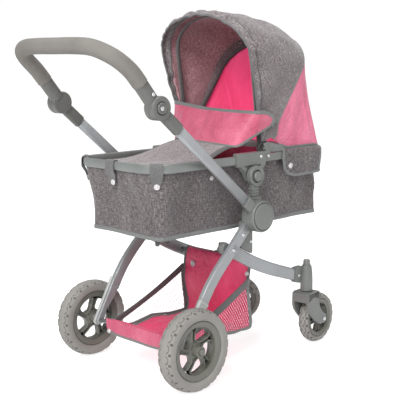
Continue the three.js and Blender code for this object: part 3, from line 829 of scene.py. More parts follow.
def sleeve(start, end, y, across, height):
    """A flat oval socket from one point of the side view to another."""
    path = [Vector((start[0], y, start[1])), Vector((end[0], y, end[1]))]
    return sweep(path, stadium(across, height, 10))


def make_hubs():
    ax, az = unit(HUB, HANDLE)
    for letter, side in SIDES.items():
        inner = [(0, 121.2), (29, 121.2), (31, 123), (31, 133.7), (0, 133.7)]
        mouth = plate([(170, 318), (172, 334), (174, 337), (201, 337), (203, 334), (206, 318)], 121.2, 133.6)
        made = shape_object(f"hub_inner_fine_{letter}", [around(inner, *HUB, side), for_side(mouth, side)],
                            "plastic", "chassis", [f"hub_inner_{letter}"])
        rounded(made, 1.6, 3, 45)
        outer = [(0, 134.0), (31, 134.0), (31, 150), (30, 152), (28, 152.9), (26.9, 152.9), (26.5, 151.4),
                 (26.5, 148.2), (0, 148.2)]
        arm_socket = sleeve((HUB[0] + 54 * ax, HUB[1] + 54 * az), (HUB[0] + 27.5 * ax, HUB[1] + 27.5 * az),
                            142.2, 15.4, 25)
        made = shape_object(f"hub_outer_fine_{letter}",
                            [around(outer, *HUB, side), for_side(arm_socket, side)], "plastic", "push_frame",
                            [f"hub_outer_{letter}"])
        rounded(made, 1.5, 3, 45)
        cap = [(0, 151.6), (25.9, 151.6), (26.1, 153), (25.4, 154.4), (23, 155.3), (14, 155.8), (0, 156)]
        shape_object(f"hub_cap_fine_{letter}", [around(cap, *HUB, side)], "plastic", f"hub_button_{letter}",
                     [f"hub_button_{letter}"])
        link = [(160, 290), (158, 256), (159, 239), (161.5, 236.4), (188, 223.1), (191, 223.3), (192, 227),
                (192, 290)]
        made = shape_object(f"leg_link_fine_{letter}", [for_side(plate(link, 111.6, 120.8), side)],
                            "plastic", "chassis", [f"leg_link_{letter}"])
        rounded(made, 2.0, 3, 40)


def make_handle():
    ax, az = unit(HANDLE, HUB)
    for letter, side in SIDES.items():
        lower = [(0, 142.2), (21.2, 142.2), (21.2, 151.6), (20.2, 153.4), (18.4, 154), (11.6, 154),
                 (11.2, 152.6), (11.2, 146.4), (0, 146.4)]
        socket = sleeve((HANDLE[0] + 12 * ax, HANDLE[1] + 12 * az),
                        (HANDLE[0] + 62 * ax, HANDLE[1] + 62 * az), 142.2, 15.4, 25)
        made = shape_object(f"handle_lower_fine_{letter}",
                            [around(lower, *HANDLE, side), for_side(socket, side)], "dark_plastic",
                            "push_frame", [f"handle_knuckle_lower_{letter}"])
        rounded(made, 1.6, 3, 45)
        button = [(0, 150), (10.4, 150), (10.5, 155), (9.7, 156.2), (7.6, 156.5), (7.2, 155.4), (6.4, 155),
                  (0, 155)]
        shape_object(f"handle_button_fine_{letter}", [around(button, *HANDLE, side)], "dark_plastic",
                     f"handle_button_{letter}", [f"handle_button_{letter}"])
        shape_object(f"handle_screw_{letter}", [screw(HANDLE[0], 155.3, HANDLE[1], side, 4.2)], "steel",
                     f"handle_button_{letter}")
        upper = [(0, 129.5), (19.6, 129.5), (21.2, 131), (21.2, 141.8), (0, 141.8)]
        ux, uz = unit(HANDLE, (-107, 564))
        neck = sleeve((HANDLE[0] + 12 * ux, HANDLE[1] + 12 * uz), (HANDLE[0] + 57 * ux, HANDLE[1] + 57 * uz),
                      138, 24, 27)
        made = shape_object(f"handle_upper_fine_{letter}",
                            [around(upper, *HANDLE, side), for_side(neck, side)], "dark_plastic",
                            "push_handle", [f"handle_knuckle_upper_{letter}"])
        rounded(made, 1.6, 3, 45)


def make_grip():
    half = [(-105, 138, 561.5), (-124, 137, 583), (-147, 132, 602), (-166, 117, 616), (-176, 92, 624),
            (-180, 50, 626), (-180, 0, 626)]
    path = smooth_path(half + [(x, -y, z) for x, y, z in reversed(half[:-1])], 110)
    made = shape_object("handle_grip_fine", [sweep(path, circle(14.3, 28), Vector((0.3, 0, 1)))], "grip",
                        "push_handle", ["handle_grip"])
    rounded(made, 1.8, 3, 60)


def make_seat_mounts():
    for letter, side in SIDES.items():
        x, z = RECLINE
        rail = plate([(146.5, 402), (146.5, 420), (149, 422), (226, 422), (228, 420), (228, 400), (224, 397),
                      (150, 397)], 109.8, 123)
        wing = plate([(150, 398.5), (224, 398.5), (216, 384), (210, 368), (176, 368), (166, 384)], 111.8,
                     119.0)
        ridges = [plate([(147, 402), (160, 402), (175.6, 390.5), (171.2, 382.5), (155, 396), (147, 396)],
                        112, 122.6), plate([(214, 402), (227, 402), (227, 396), (214.8, 382.5),
                                            (210.4, 390.5)], 112, 122.6)]
        tube = plate([(226, 401), (280, 401), (280, 416), (226, 416)], 110.2, 119.8)
        clip = plate([(231, 415), (231, 427), (235, 433), (242, 433), (245, 427), (245, 415)], 110.4, 119.6)
        made = shape_object(f"rim_bracket_fine_{letter}",
                            [for_side(s, side) for s in (rail, wing, *ridges, tube, clip)], "plastic",
                            "carrycot", [f"rim_bracket_{letter}"])
        rounded(made, 1.8, 3, 40)
        disc = [(0, 121.2), (20.5, 121.2), (20.5, 130.2), (19.4, 132.3), (17.6, 132.6), (16.6, 131.4),
                (12.8, 131.4), (12, 126.2), (0, 126.2)]
        stem = [plate([(180, 364), (180, 333), (196, 333), (196, 364)], 122.4, 130.4)]
        stem += [plate([(177.8, low), (198.2, low), (198.2, low + 3.4), (177.8, low + 3.4)], 121.3, 131.8)
                 for low in (338.4, 344.4, 350.4)]
        made = shape_object(f"seat_adapter_fine_{letter}",
                            [around(disc, x, z, side)] + [for_side(s, side) for s in stem], "plastic",
                            "seat_carrier", [f"seat_adapter_{letter}"])
        rounded(made, 1.3, 3, 45)
        button = [(0, 129.5), (9.9, 129.5), (10, 134), (9, 135.3), (7, 135.8), (0, 136)]
        shape_object(f"recline_button_fine_{letter}", [around(button, x, z, side)], "plastic",
                     f"recline_button_{letter}", [f"recline_button_{letter}"])


def rounded_plan(foot, head, half, radius, count=10):
    """A rounded rectangle in plan, from the middle of the foot end round by the left side."""
    corners = [(foot + radius, half - radius, 180, 90), (head - radius, half - radius, 90, 0),
               (head - radius, radius - half, 0, -90), (foot + radius, radius - half, -90, -180)]
    points = []
    for x, y, start, end in corners:
        for n in range(count + 1):
            angle = math.radians(start + (end - start) * n / count)
            points.append((x + radius * math.cos(angle), y + radius * math.sin(angle)))
    return points


RIM = {"z": 408.2, "height": 17.6, "foot": -58, "head": 417, "half": 115, "corner": 40}


def make_rim_tubes():
    outline = rounded_plan(RIM["foot"] + 4.8, RIM["head"] - 4.8, RIM["half"], RIM["corner"], 14)
    halves = {"foot": [p for p in outline if p[0] < 145], "head": [p for p in outline if p[0] > 281]}
    halves["foot"] = halves["foot"][15:] + halves["foot"][:15]
    for name, line in halves.items():
        limit = 146.5 if name == "foot" else 280.0
        line = [(limit, line[0][1])] + line + [(limit, line[-1][1])]
        path = [Vector((x, y, RIM["z"])) for x, y in line]
        section = [(a, b) for a, b in stadium(9.4, RIM["height"], 8)]
        tube = sweep_flat(path, section)
        # The rim tubes take the darker rail finish, painted shade.
        shape_object(f"rim_tube_{name}_fine", [tube], "rim_rail", "carrycot", [f"rim_tube_{name}"])


def sweep_flat(path, section):
    """A section carried along a level path, its second coordinate upwards."""
    points = []
    for n, centre in enumerate(path):
        ahead = (path[min(n + 1, len(path) - 1)] - path[max(n - 1, 0)]).normalized()
        out = Vector((ahead.y, -ahead.x, 0))
        points += [tuple(centre + out * a + Vector((0, 0, b))) for a, b in section]
    return oriented((points, ring_faces(len(path), len(section), False)))


# ---- Cloth ----


def grid_normals(rows, closed):
    """The surface normal at each point of a grid of vectors."""
    normals = []
    last = len(rows) - 1
    for n, row in enumerate(rows):
        size = len(row)
        line = []
        for k in range(size):
            if closed:
                along = row[(k + 1) % size] - row[k - 1]
            else:
                along = row[min(k + 1, size - 1)] - row[max(k - 1, 0)]
            across = rows[min(n + 1, last)][k] - rows[max(n - 1, 0)][k]
            normal = along.cross(across)
            line.append(normal.normalized() if normal.length > 1e-9 else Vector((0, 0, 1)))
        normals.append(line)
    return normals


def running(points, closed):
    """Lengths along a line of points, with one more for the way back if it is closed."""
    line = list(points) + ([points[0]] if closed else [])
    made = [0.0]
    for a, b in zip(line, line[1:]):
        made.append(made[-1] + (b - a).length)
    return made


def cloth(name, rows, material, body, thickness=1.6, closed=False, replaced=(), back=None):
    """A sheet through a grid of points in millimetres, with a thickness and threads that follow the grid.
    It gives the object, its grid and its normals."""
    rows = [[Vector(p) for p in row] for row in rows]
    normals = grid_normals(rows, closed)
    size, count = len(rows[0]), len(rows)
    us = running(rows[count // 2], closed)
    vs = running([row[size // 2] for row in rows], False)
    layers = (thickness / 2, -thickness / 2) if thickness else (0,)
    points, faces, uvs, insides = [], [], [], []
    for offset in layers:
        points += [at(*(p + n * offset)) for row, line in zip(rows, normals) for p, n in zip(row, line)]
    columns = size if closed else size - 1
    for layer in range(len(layers)):
        start = layer * size * count
        for n in range(count - 1):
            for k in range(columns):
                m = (k + 1) % size
                corners = [(n, k, k), (n, m, k + 1), (n + 1, m, k + 1), (n + 1, k, k)]
                if layer:
                    corners.reverse()
                faces.append(tuple(start + row * size + column for row, column, _ in corners))
                uvs += [(us[place] * MM, vs[row] * MM) for row, _, place in corners]
                insides.append(layer)
    if thickness:
        far = size * count
        border = [(0, k, 0, (k + 1) % size, k, k + 1) for k in range(columns)]
        border += [(count - 1, (k + 1) % size, count - 1, k, k + 1, k) for k in range(columns)]
        if not closed:
            border += [(n + 1, 0, n, 0, 0, 0) for n in range(count - 1)]
            border += [(n, size - 1, n + 1, size - 1, size - 1, size - 1) for n in range(count - 1)]
        for row_a, a, row_b, b, place_a, place_b in border:
            one, two = row_a * size + a, row_b * size + b
            faces.append((two, one, one + far, two + far))
            ends = [(row_b, place_b), (row_a, place_a), (row_a, place_a), (row_b, place_b)]
            uvs += [(us[place] * MM, vs[row] * MM) for row, place in ends]
            insides.append(0)
    mesh = bpy.data.meshes.new(name)
    mesh.from_pydata([tuple(p) for p in points], [], faces)
    mesh.materials.append(MATERIALS[material])
    if back is not None:
        mesh.materials.append(MATERIALS[back])
        mesh.polygons.foreach_set("material_index", insides)
    layer = mesh.uv_layers.new(name="threads")
    layer.data.foreach_set("uv", [c for uv in uvs for c in uv])
    smooth(mesh, 55)
    made = bpy.data.objects.new(name, mesh)
    bpy.context.collection.objects.link(made)
    settle(made, body, replaced)
    return made, rows, normals


def ripple(x, y, seed=0.0):
    return noise.noise(Vector((x, y, seed)))


EDGES = {
    "start": lambda rows: [(0, k, 1, k) for k in range(len(rows[0]))],
    "end": lambda rows: [(len(rows) - 1, k, len(rows) - 2, k) for k in range(len(rows[0]))],
    "left": lambda rows: [(n, 0, n, 1) for n in range(len(rows))],
    "right": lambda rows: [(n, len(rows[0]) - 1, n, len(rows[0]) - 2) for n in range(len(rows))],
}


def hem(name, grid, edges, material, body, width=8.0, thick=2.8, closed=False):
    """Binding tape folded over edges of a sheet's grid. An edge's name after a minus runs backwards."""
    _, rows, normals = grid
    spots = []
    for edge in edges:
        line = EDGES[edge.lstrip("-")](rows)
        spots += reversed(line) if edge.startswith("-") else line
    inset = 0.6
    path, ups = [], []
    for n, k, other_n, other_k in spots:
        inwards = (rows[other_n][other_k] - rows[n][k]).normalized()
        place = rows[n][k] + inwards * (width / 2 - inset)
        if path and (place - path[-1]).length < 1.2:
            continue
        path.append(place)
        ups.append(normals[n][k])
    section = stadium(thick, width, 4)
    points = []
    count, size = len(path), len(section)
    for n, centre in enumerate(path):
        before = path[n - 1] if n or closed else path[0]
        after = path[(n + 1) % count] if n < count - 1 or closed else path[-1]
        ahead = (after - before).normalized()
        up = (ups[n] - ahead * ups[n].dot(ahead)).normalized()
        side = ahead.cross(up)
        points += [tuple(centre + up * a + side * b) for a, b in section]
    shape = oriented((points, ring_faces(count, size, closed)))
    return shape_object(name, [shape], material, body, flat_angle=60)


def snap(name, place, facing, body, radius=5.6):
    """A press stud: a domed cap in a shallow ring, standing on a surface that faces a given way."""
    dome = [(0, -1.5), (radius, -1.5), (radius + 0.2, 0.2), (radius - 0.4, 1.0), (radius - 1.3, 1.2),
            (radius - 1.7, 0.9), (radius - 2.4, 1.5), (0, 2.1)]
    turn = Vector((0, 1, 0)).rotation_difference(Vector(facing)).to_matrix().to_4x4()
    shape = turned(revolve(dome, 28), Matrix.Translation(Vector(place)) @ turn)
    return shape_object(name, [shape], "snap", body)


def rectangle_loop(foot, head, half, radius, long=70, short=36, corner=9):
    """A rounded rectangle in plan as (point, outward) pairs, with as many points at any size."""
    made = []
    stations = [
        ((foot, radius - half), (foot, half - radius), (-1, 0), short),
        ((foot + radius, half - radius), 180, 90, corner),
        ((foot + radius, half), (head - radius, half), (0, 1), long),
        ((head - radius, half - radius), 90, 0, corner),
        ((head, half - radius), (head, radius - half), (1, 0), short),
        ((head - radius, radius - half), 0, -90, corner),
        ((head - radius, -half), (foot + radius, -half), (0, -1), long),
        ((foot + radius, radius - half), -90, -180, corner),
    ]
    for station in stations:
        if station[3] == corner and isinstance(station[1], int):
            (x, y), start, end, count = station
            for n in range(count):
                angle = math.radians(start + (end - start) * n / count)
                out = Vector((math.cos(angle), math.sin(angle), 0))
                made.append((Vector((x, y, 0)) + out * radius, out))
        else:
            (x0, y0), (x1, y1), out, count = station
            for n in range(count):
                share = n / count
                made.append((Vector((x0 + (x1 - x0) * share, y0 + (y1 - y0) * share, 0)), Vector((*out, 0))))
    return made


# ---- Carrycot ----

COT = {"bottom": 275.5, "top": 401.5}


def cot_ring(share, inset=0.0):
    """The cot's outline at a share of its height: square at the base, rounder and wider at the rim."""
    flare = share ** 1.6
    loop = rectangle_loop(-30 - 21 * flare + inset, 409 + 2 * flare - inset, 100 + 8 * flare - inset,
                          8 + 20 * flare - 0.6 * inset)
    return loop


def cot_rows(inset, low, high, count, folds):
    rows = []
    for n in range(count + 1):
        share = n / count
        z = low + (high - low) * share
        height = max(0.0, min(1.0, (z - COT["bottom"]) / (COT["top"] - COT["bottom"])))
        row = []
        for k, (place, out) in enumerate(cot_ring(height, inset)):
            x, y = place.x, place.y
            around = k / 12
            belly = -3.0 * max(0.0, math.sin(math.pi * height)) ** 1.3
            crease = 1 - abs(ripple(around * 1.1 + 0.7 * height, height * 0.7, 12.3)) * 2.4
            wrinkle = 4.2 * ripple(around * 0.8, height * 0.9, 3.1)
            wrinkle += 3.4 * ripple(around * 2.1, height * 0.5, 7.7)
            wrinkle += 2.6 * max(0.0, crease) ** 3
            gather = 1.4 * height**2 * math.sin(k * 0.9 + 2.5 * ripple(around, 0, 5.0))
            push = folds * (belly + wrinkle * math.sin(math.pi * min(1, 0.12 + height * 0.86)) + gather)
            dip = folds * 1.4 * ripple(around * 0.7, 4.0, 1.0) * (1 - height) ** 2
            row.append(Vector((x, y, z + dip)) + out * push)
        rows.append(row)
    return rows


def make_cot():
    outside = cloth("cot_cover", cot_rows(0, COT["bottom"], COT["top"], 30, 1.0), "cot_cloth", "carrycot",
                    1.8, True, ["cot_shell"])
    # The lining takes the darkened pink: painted shade inside the cot.
    inside = cloth("cot_lining", cot_rows(5.0, COT["bottom"] + 5, COT["top"] + 1, 16, 0.5), "shade_pink",
                   "carrycot", 1.6, True)
    hem("cot_piping", outside, ["start"], "binding", "carrycot", 8.5, 4.2, True)
    base_rows = []
    for share in (1.0, 0.92, 0.8, 0.6, 0.4, 0.2, 0.03):
        row = []
        for place, _ in cot_ring(0, 2.0):
            x, y = 189.5 + (place.x - 189.5) * share, place.y * share
            sag = 2.5 * (1 - share**4) + 0.7 * ripple(x / 45, y / 45, 2.0)
            row.append((x, y, COT["bottom"] + 1.5 - sag * 0.5))
        base_rows.append(row)
    base = cloth("cot_base", base_rows, "cot_cloth", "carrycot", 2.4, True)
    for n, (x, y) in enumerate([(-18, -76), (6, -76)]):
        peg = [(0, -13), (2.8, -13), (4.2, -11), (4.2, -4), (2.6, 1), (0, 1.5)]
        shape = shifted(upright([(r, z * 0.95) for r, z in peg]), x, y, COT["bottom"] - 1)
        shape_object(f"cot_toggle_{n}", [shape], "strap", "carrycot")


def strap_over_rim(name, place, outward, lean):
    """A tab that loops over the rim tube and closes with a press stud on the cot's side."""
    out = Vector((*outward, 0)).normalized()
    across = Vector((-out.y, out.x, 0))
    centre = Vector((*place, RIM["z"]))
    top = RIM["height"] / 2
    width = 24.0
    profile = [(-5.6, -6), (-5.7, top - 4), (-4.2, top + 0.4), (0, top + 1.4), (4.2, top + 0.6),
               (5.8, top - 3.6), (6.1, 0), (6.0, -top + 1), (4.6, -top - 4), (1.8, -top - 10),
               (0.4, -top - 17), (-0.2, -top - 24), (-0.5, -top - 29)]
    line = smooth_path([(a, 0, b) for a, b in profile], 40)
    rows = []
    length = running(line, False)
    for n, p in enumerate(line):
        left = length[-1] - length[n]
        narrow = min(1.0, 0.42 + 0.58 * left / 24)
        if left < 7:
            narrow *= math.sqrt(max(0.05, 1 - ((7 - left) / 7.5) ** 2))
        row = []
        for k in range(9):
            side = (k / 8 - 0.5) * width * narrow
            inwards = lean * max(0.0, -p.z - top) / 24
            row.append(centre + out * (p.x - inwards + 0.3 * math.sin(k * 1.1)) + Vector((0, 0, p.z))
                       + across * side)
        rows.append(row)
    made = cloth(name, rows, "strap_light", "carrycot", 1.3)
    spot = centre + out * (0.6 - lean * 23 / 24) + Vector((0, 0, -top - 23))
    snap(f"{name}_snap", spot, out - Vector((0, 0, lean / 24)), "carrycot", 5.4)


def make_rim_straps():
    c = RIM["corner"]
    foot, half = RIM["foot"] + 4.8, RIM["half"]
    bend = c * (1 - math.sqrt(0.5))
    strap_over_rim("rim_strap_foot", (foot, 8), (-1, 0), 2.5)
    strap_over_rim("rim_strap_corner_R", (foot + bend, bend - half), (-1, -1), 4)
    strap_over_rim("rim_strap_corner_L", (foot + bend, half - bend), (-1, 1), 4)
    for letter, side in SIDES.items():
        snap(f"cot_snap_{letter}", (92, side * 107.8, 380), (0, side, -0.08), "carrycot", 4.2)


def make_mattress():
    """A soft pad in the bottom of the cot, blown up a little as cloth and then quilted."""
    low, high = 282, 309
    rows = []
    for share, z in ((0.02, low), (0.9, low), (0.985, low + 4), (1.0, low + 10), (1.0, high - 10),
                     (0.985, high - 4), (0.9, high), (0.02, high)):
        rows.append([(189.5 + (p.x - 189.5) * share, p.y * share, z) for p,
                     _ in rectangle_loop(-20, 399, 91, 26, 40, 18, 6)])
    points = [p for row in rows for p in row]
    size = len(rows[0])
    faces = [(n * size + k, n * size + (k + 1) % size, (n + 1) * size + (k + 1) % size, (n + 1) * size + k)
             for n in range(len(rows) - 1) for k in range(size)]
    faces += [tuple(reversed(range(size))), tuple(range((len(rows) - 1) * size, len(rows) * size))]
    points, faces = oriented((points, faces))
    made = mesh_object("mattress_pad", [at(*p) for p in points], faces, MATERIALS["lining_pad"])
    remesh = made.modifiers.new("remesh", "REMESH")
    remesh.mode = "VOXEL"
    remesh.voxel_size = 0.0055
    apply_modifiers(made)
    puff(made, 4.0, 0.005)
    quilt(made)
    smooth(made.data, 180)
    settle(made, "carrycot", ["mattress"])


def apply_modifiers(made):
    """Turns what the modifiers make into the object's own mesh."""
    graph_now = bpy.context.evaluated_depsgraph_get()
    mesh = bpy.data.meshes.new_from_object(made.evaluated_get(graph_now))
    made.modifiers.clear()
    made.data = mesh


def puff(made, pressure, cap):
    """Lets the piece swell as cloth under pressure, moving no point further than cap."""
    before = [v.co.copy() for v in made.data.vertices]
    modifier = made.modifiers.new("cloth", "CLOTH")
    settings = modifier.settings
    settings.quality = 5
    settings.use_pressure = True
    settings.uniform_pressure_force = pressure
    settings.effector_weights.gravity = 0
    modifier.point_cache.frame_start = 1
    modifier.point_cache.frame_end = 20
    scene = bpy.context.scene
    for step in range(1, 21):
        scene.frame_set(step)
        bpy.context.view_layer.update()
    graph_now = bpy.context.evaluated_depsgraph_get()
    mesh = bpy.data.meshes.new_from_object(made.evaluated_get(graph_now))
    made.modifiers.clear()
    made.data = mesh
    for vertex, start in zip(mesh.vertices, before):
        move = vertex.co - start
        if move.length > cap:
            vertex.co = start + move.normalized() * cap
    scene.frame_set(1)


def quilt(made):
    """Sewn channels across the pad's top, a dip at each seam."""
    pitch = 48 * MM
    top = at(0, 0, 305).z
    low = at(0, 0, 296).z
    for vertex in made.data.vertices:
        if vertex.co.z > low:
            fade = min(1.0, (vertex.co.z - low) / (top - low))
            for along in (vertex.co.x - 0.02, vertex.co.y):
                off = (along / pitch - round(along / pitch)) * pitch
                vertex.co.z -= fade * 0.0035 * math.exp(-((off / 0.0045) ** 2))


# ---- Apron and wind flap ----


def ease(share):
    share = max(0.0, min(1.0, share))
    return share * share * (3 - 2 * share)


# Where the apron meets the wind flap: x at each distance across
SEAM_LINE = [(-107, 152), (-95, 145), (-60, 140.5), (-20, 143), (25, 152), (55, 167), (90, 189), (107, 203)]


# The height of the apron's last row, across the cot
APRON_END = [(-107, 434), (-95, 435.5), (-60, 437.5), (-20, 438.5), (25, 438), (55, 437), (88, 434),
             (107, 429)]


def make_apron():
    rows = []
    across, along = 44, 44
    for n in range(along + 1):
        reach = 198.5 * n / along
        half = 106.5 if reach > 30 else 76.5 + math.sqrt(max(0, 30**2 - (30 - reach) ** 2))
        row = []
        for k in range(across + 1):
            side = 2 * k / across - 1
            y = side * half
            x = reach - 46.5 + ease(n / along) ** 2 * (along_table(SEAM_LINE, y) - 152)
            climb = ease((reach - 84) / 114) ** 1.2
            edge = 1 - abs(side) ** 3.4
            lift = (along_table(APRON_END, y) - 411) * climb - (2.5 + 4.5 * (1 - edge)) * (1 - climb)
            fold = 2.2 * ripple(x / 60, y / 34 + x / 160, 11) + 1.2 * ripple(x / 26, y / 22, 17)
            drape = 3.0 * math.exp(-(((y - 0.35 * reach + 8) / 15) ** 2)) * ease(reach / 60)
            drape *= 1 - ease((reach - 130) / 60)
            row.append((x, y, 411 + lift + (fold + drape) * edge))
        rows.append(row)
    made = cloth("apron_cover", rows, "pale", "carrycot", 1.8, False, ["apron"])
    hem("apron_binding", made, ["-left", "start", "right"], "strap", "carrycot", 11, 3.4)


# The flap's lower and upper edges, from its far end to its near one
FLAP_LOW = [(254, 117, 452), (234, 117, 438), (214, 116, 430), (201, 111, 429), (186, 88, 436),
            (166, 55, 437), (151, 25, 438), (142, -20, 438.5), (139, -60, 437.5), (143, -95, 435.5),
            (151, -112, 434), (162, -117, 437), (188, -118, 448), (222, -119, 461), (249, -119, 471)]
FLAP_TOP = [(257, 117, 485), (249, 117, 497), (232, 119, 506), (212, 119, 512), (203, 108, 513),
            (200, 70, 509), (200, 20, 503.5), (200, -20, 501.5), (200, -62, 500.5), (202, -104, 500.5),
            (211, -119, 500.5), (224, -120.5, 500), (246, -120, 493), (257, -119, 482)]


def make_wind_flap():
    low, top = smooth_path(FLAP_LOW, 90), smooth_path(FLAP_TOP, 90)
    rows = []
    for n in range(17):
        share = n / 16
        row = []
        for k in range(91):
            a, b = low[k], top[k]
            p = a.lerp(b, share)
            side = abs(2 * k / 90 - 1)
            middle = 1 - ease((side - 0.5) / 0.3)
            sag = math.sin(math.pi * share)
            p = p + Vector((-5.0 * sag * middle, 0, -2.5 * sag * middle))
            fold = 6.5 * ripple(k / 11 + share * 1.2, share * 1.1, 23)
            fold += 4.2 * ripple(k / 5 - share * 1.5, share * 1.2, 29)
            crease = max(0.0, 1 - 3.2 * abs(ripple(k / 13 + share * 1.6, share * 0.9 + k / 60, 37))) ** 2
            p = p + Vector((fold * sag * middle - 3.2 * crease * sag, 0, 0.4 * fold * sag))
            if side > 0.7:
                puff = 0.6 + 2.2 * sag * max(0.0, ripple(k / 5 + 2 * share, share * 2,
                    31)) + 1.8 * crease * sag
                p = p + Vector((0, math.copysign(puff, p.y), 0))
            row.append(p)
        rows.append(row)
    made = cloth("wind_flap_cover", rows, "soft_pink", "carrycot", 1.6, False, ["wind_flap"])
    hem("wind_flap_binding", made, ["-left", "end", "right"], "binding", "carrycot", 8.5, 3.4)
    hem("wind_flap_seam", made, ["start"], "binding", "carrycot", 5, 3.2)


# ---- Hood ----

PIVOT = (229, 427)
HOOD_SIDE = 190
HOOD_HALF = 112
FRONT_EDGE = 105.5
SEAM = [(45, 26), (52, 36), (58, 42), (69, 46), (80, 47.6), (94, 48.6), (113, 49.5), (149, 50.5),
        (190, 51.5), (215, 52.5), (235, 53.6), (255, 54.6), (280, 55)]
CROWN = [(50, 270), (54.8, 270), (60, 267), (68, 265.5), (76, 264), (83, 260.5), (89, 260.5), (94, 265),
         (98, 268.5), (102, 269.5), (105.5, 267)]


def along_table(table, value):
    for (a, low), (b, high) in zip(table, table[1:]):
        if value <= b:
            share = max(0.0, (value - a) / (b - a))
            return low + (high - low) * share
    return table[-1][1]


def hood_columns():
    """Across the hood: (radius's share of the straight side, angle over the arch or None)."""
    side = [(n / 30, None) for n in range(30)]
    arch = [(1, math.pi * n / 56) for n in range(57)]
    return [(-1, *c) for c in side] + [(0, *c) for c in arch] + [(1, *c) for c in reversed(side)]


def hood_point(column, start, angle, push=0.0):
    """A point of the hood's surface: start is the radius where the straight side begins."""
    end, share, over = column
    crown = along_table(CROWN, angle) - HOOD_SIDE
    wide = 9.0 * ease((angle - 58) / 34)
    if over is None:
        radius = start + (HOOD_SIDE - start) * share
        y = end * (HOOD_HALF + wide * ease((radius - 45) / 90) + push)
    else:
        radius = HOOD_SIDE + (crown + push) * math.sin(over)
        y = -(HOOD_HALF + wide + push) * math.cos(over)
    turn = math.radians(angle)
    return Vector((PIVOT[0] + radius * math.cos(turn), y, PIVOT[1] + radius * math.sin(turn)))


def column_radius(column, start):
    _, share, over = column
    if over is None:
        return start + (HOOD_SIDE - start) * share
    return HOOD_SIDE + 80 * math.sin(over)


def hood_spot(angle):
    turn = math.radians(angle)
    return at(PIVOT[0] + 150 * math.cos(turn), 0, PIVOT[1] + 150 * math.sin(turn))


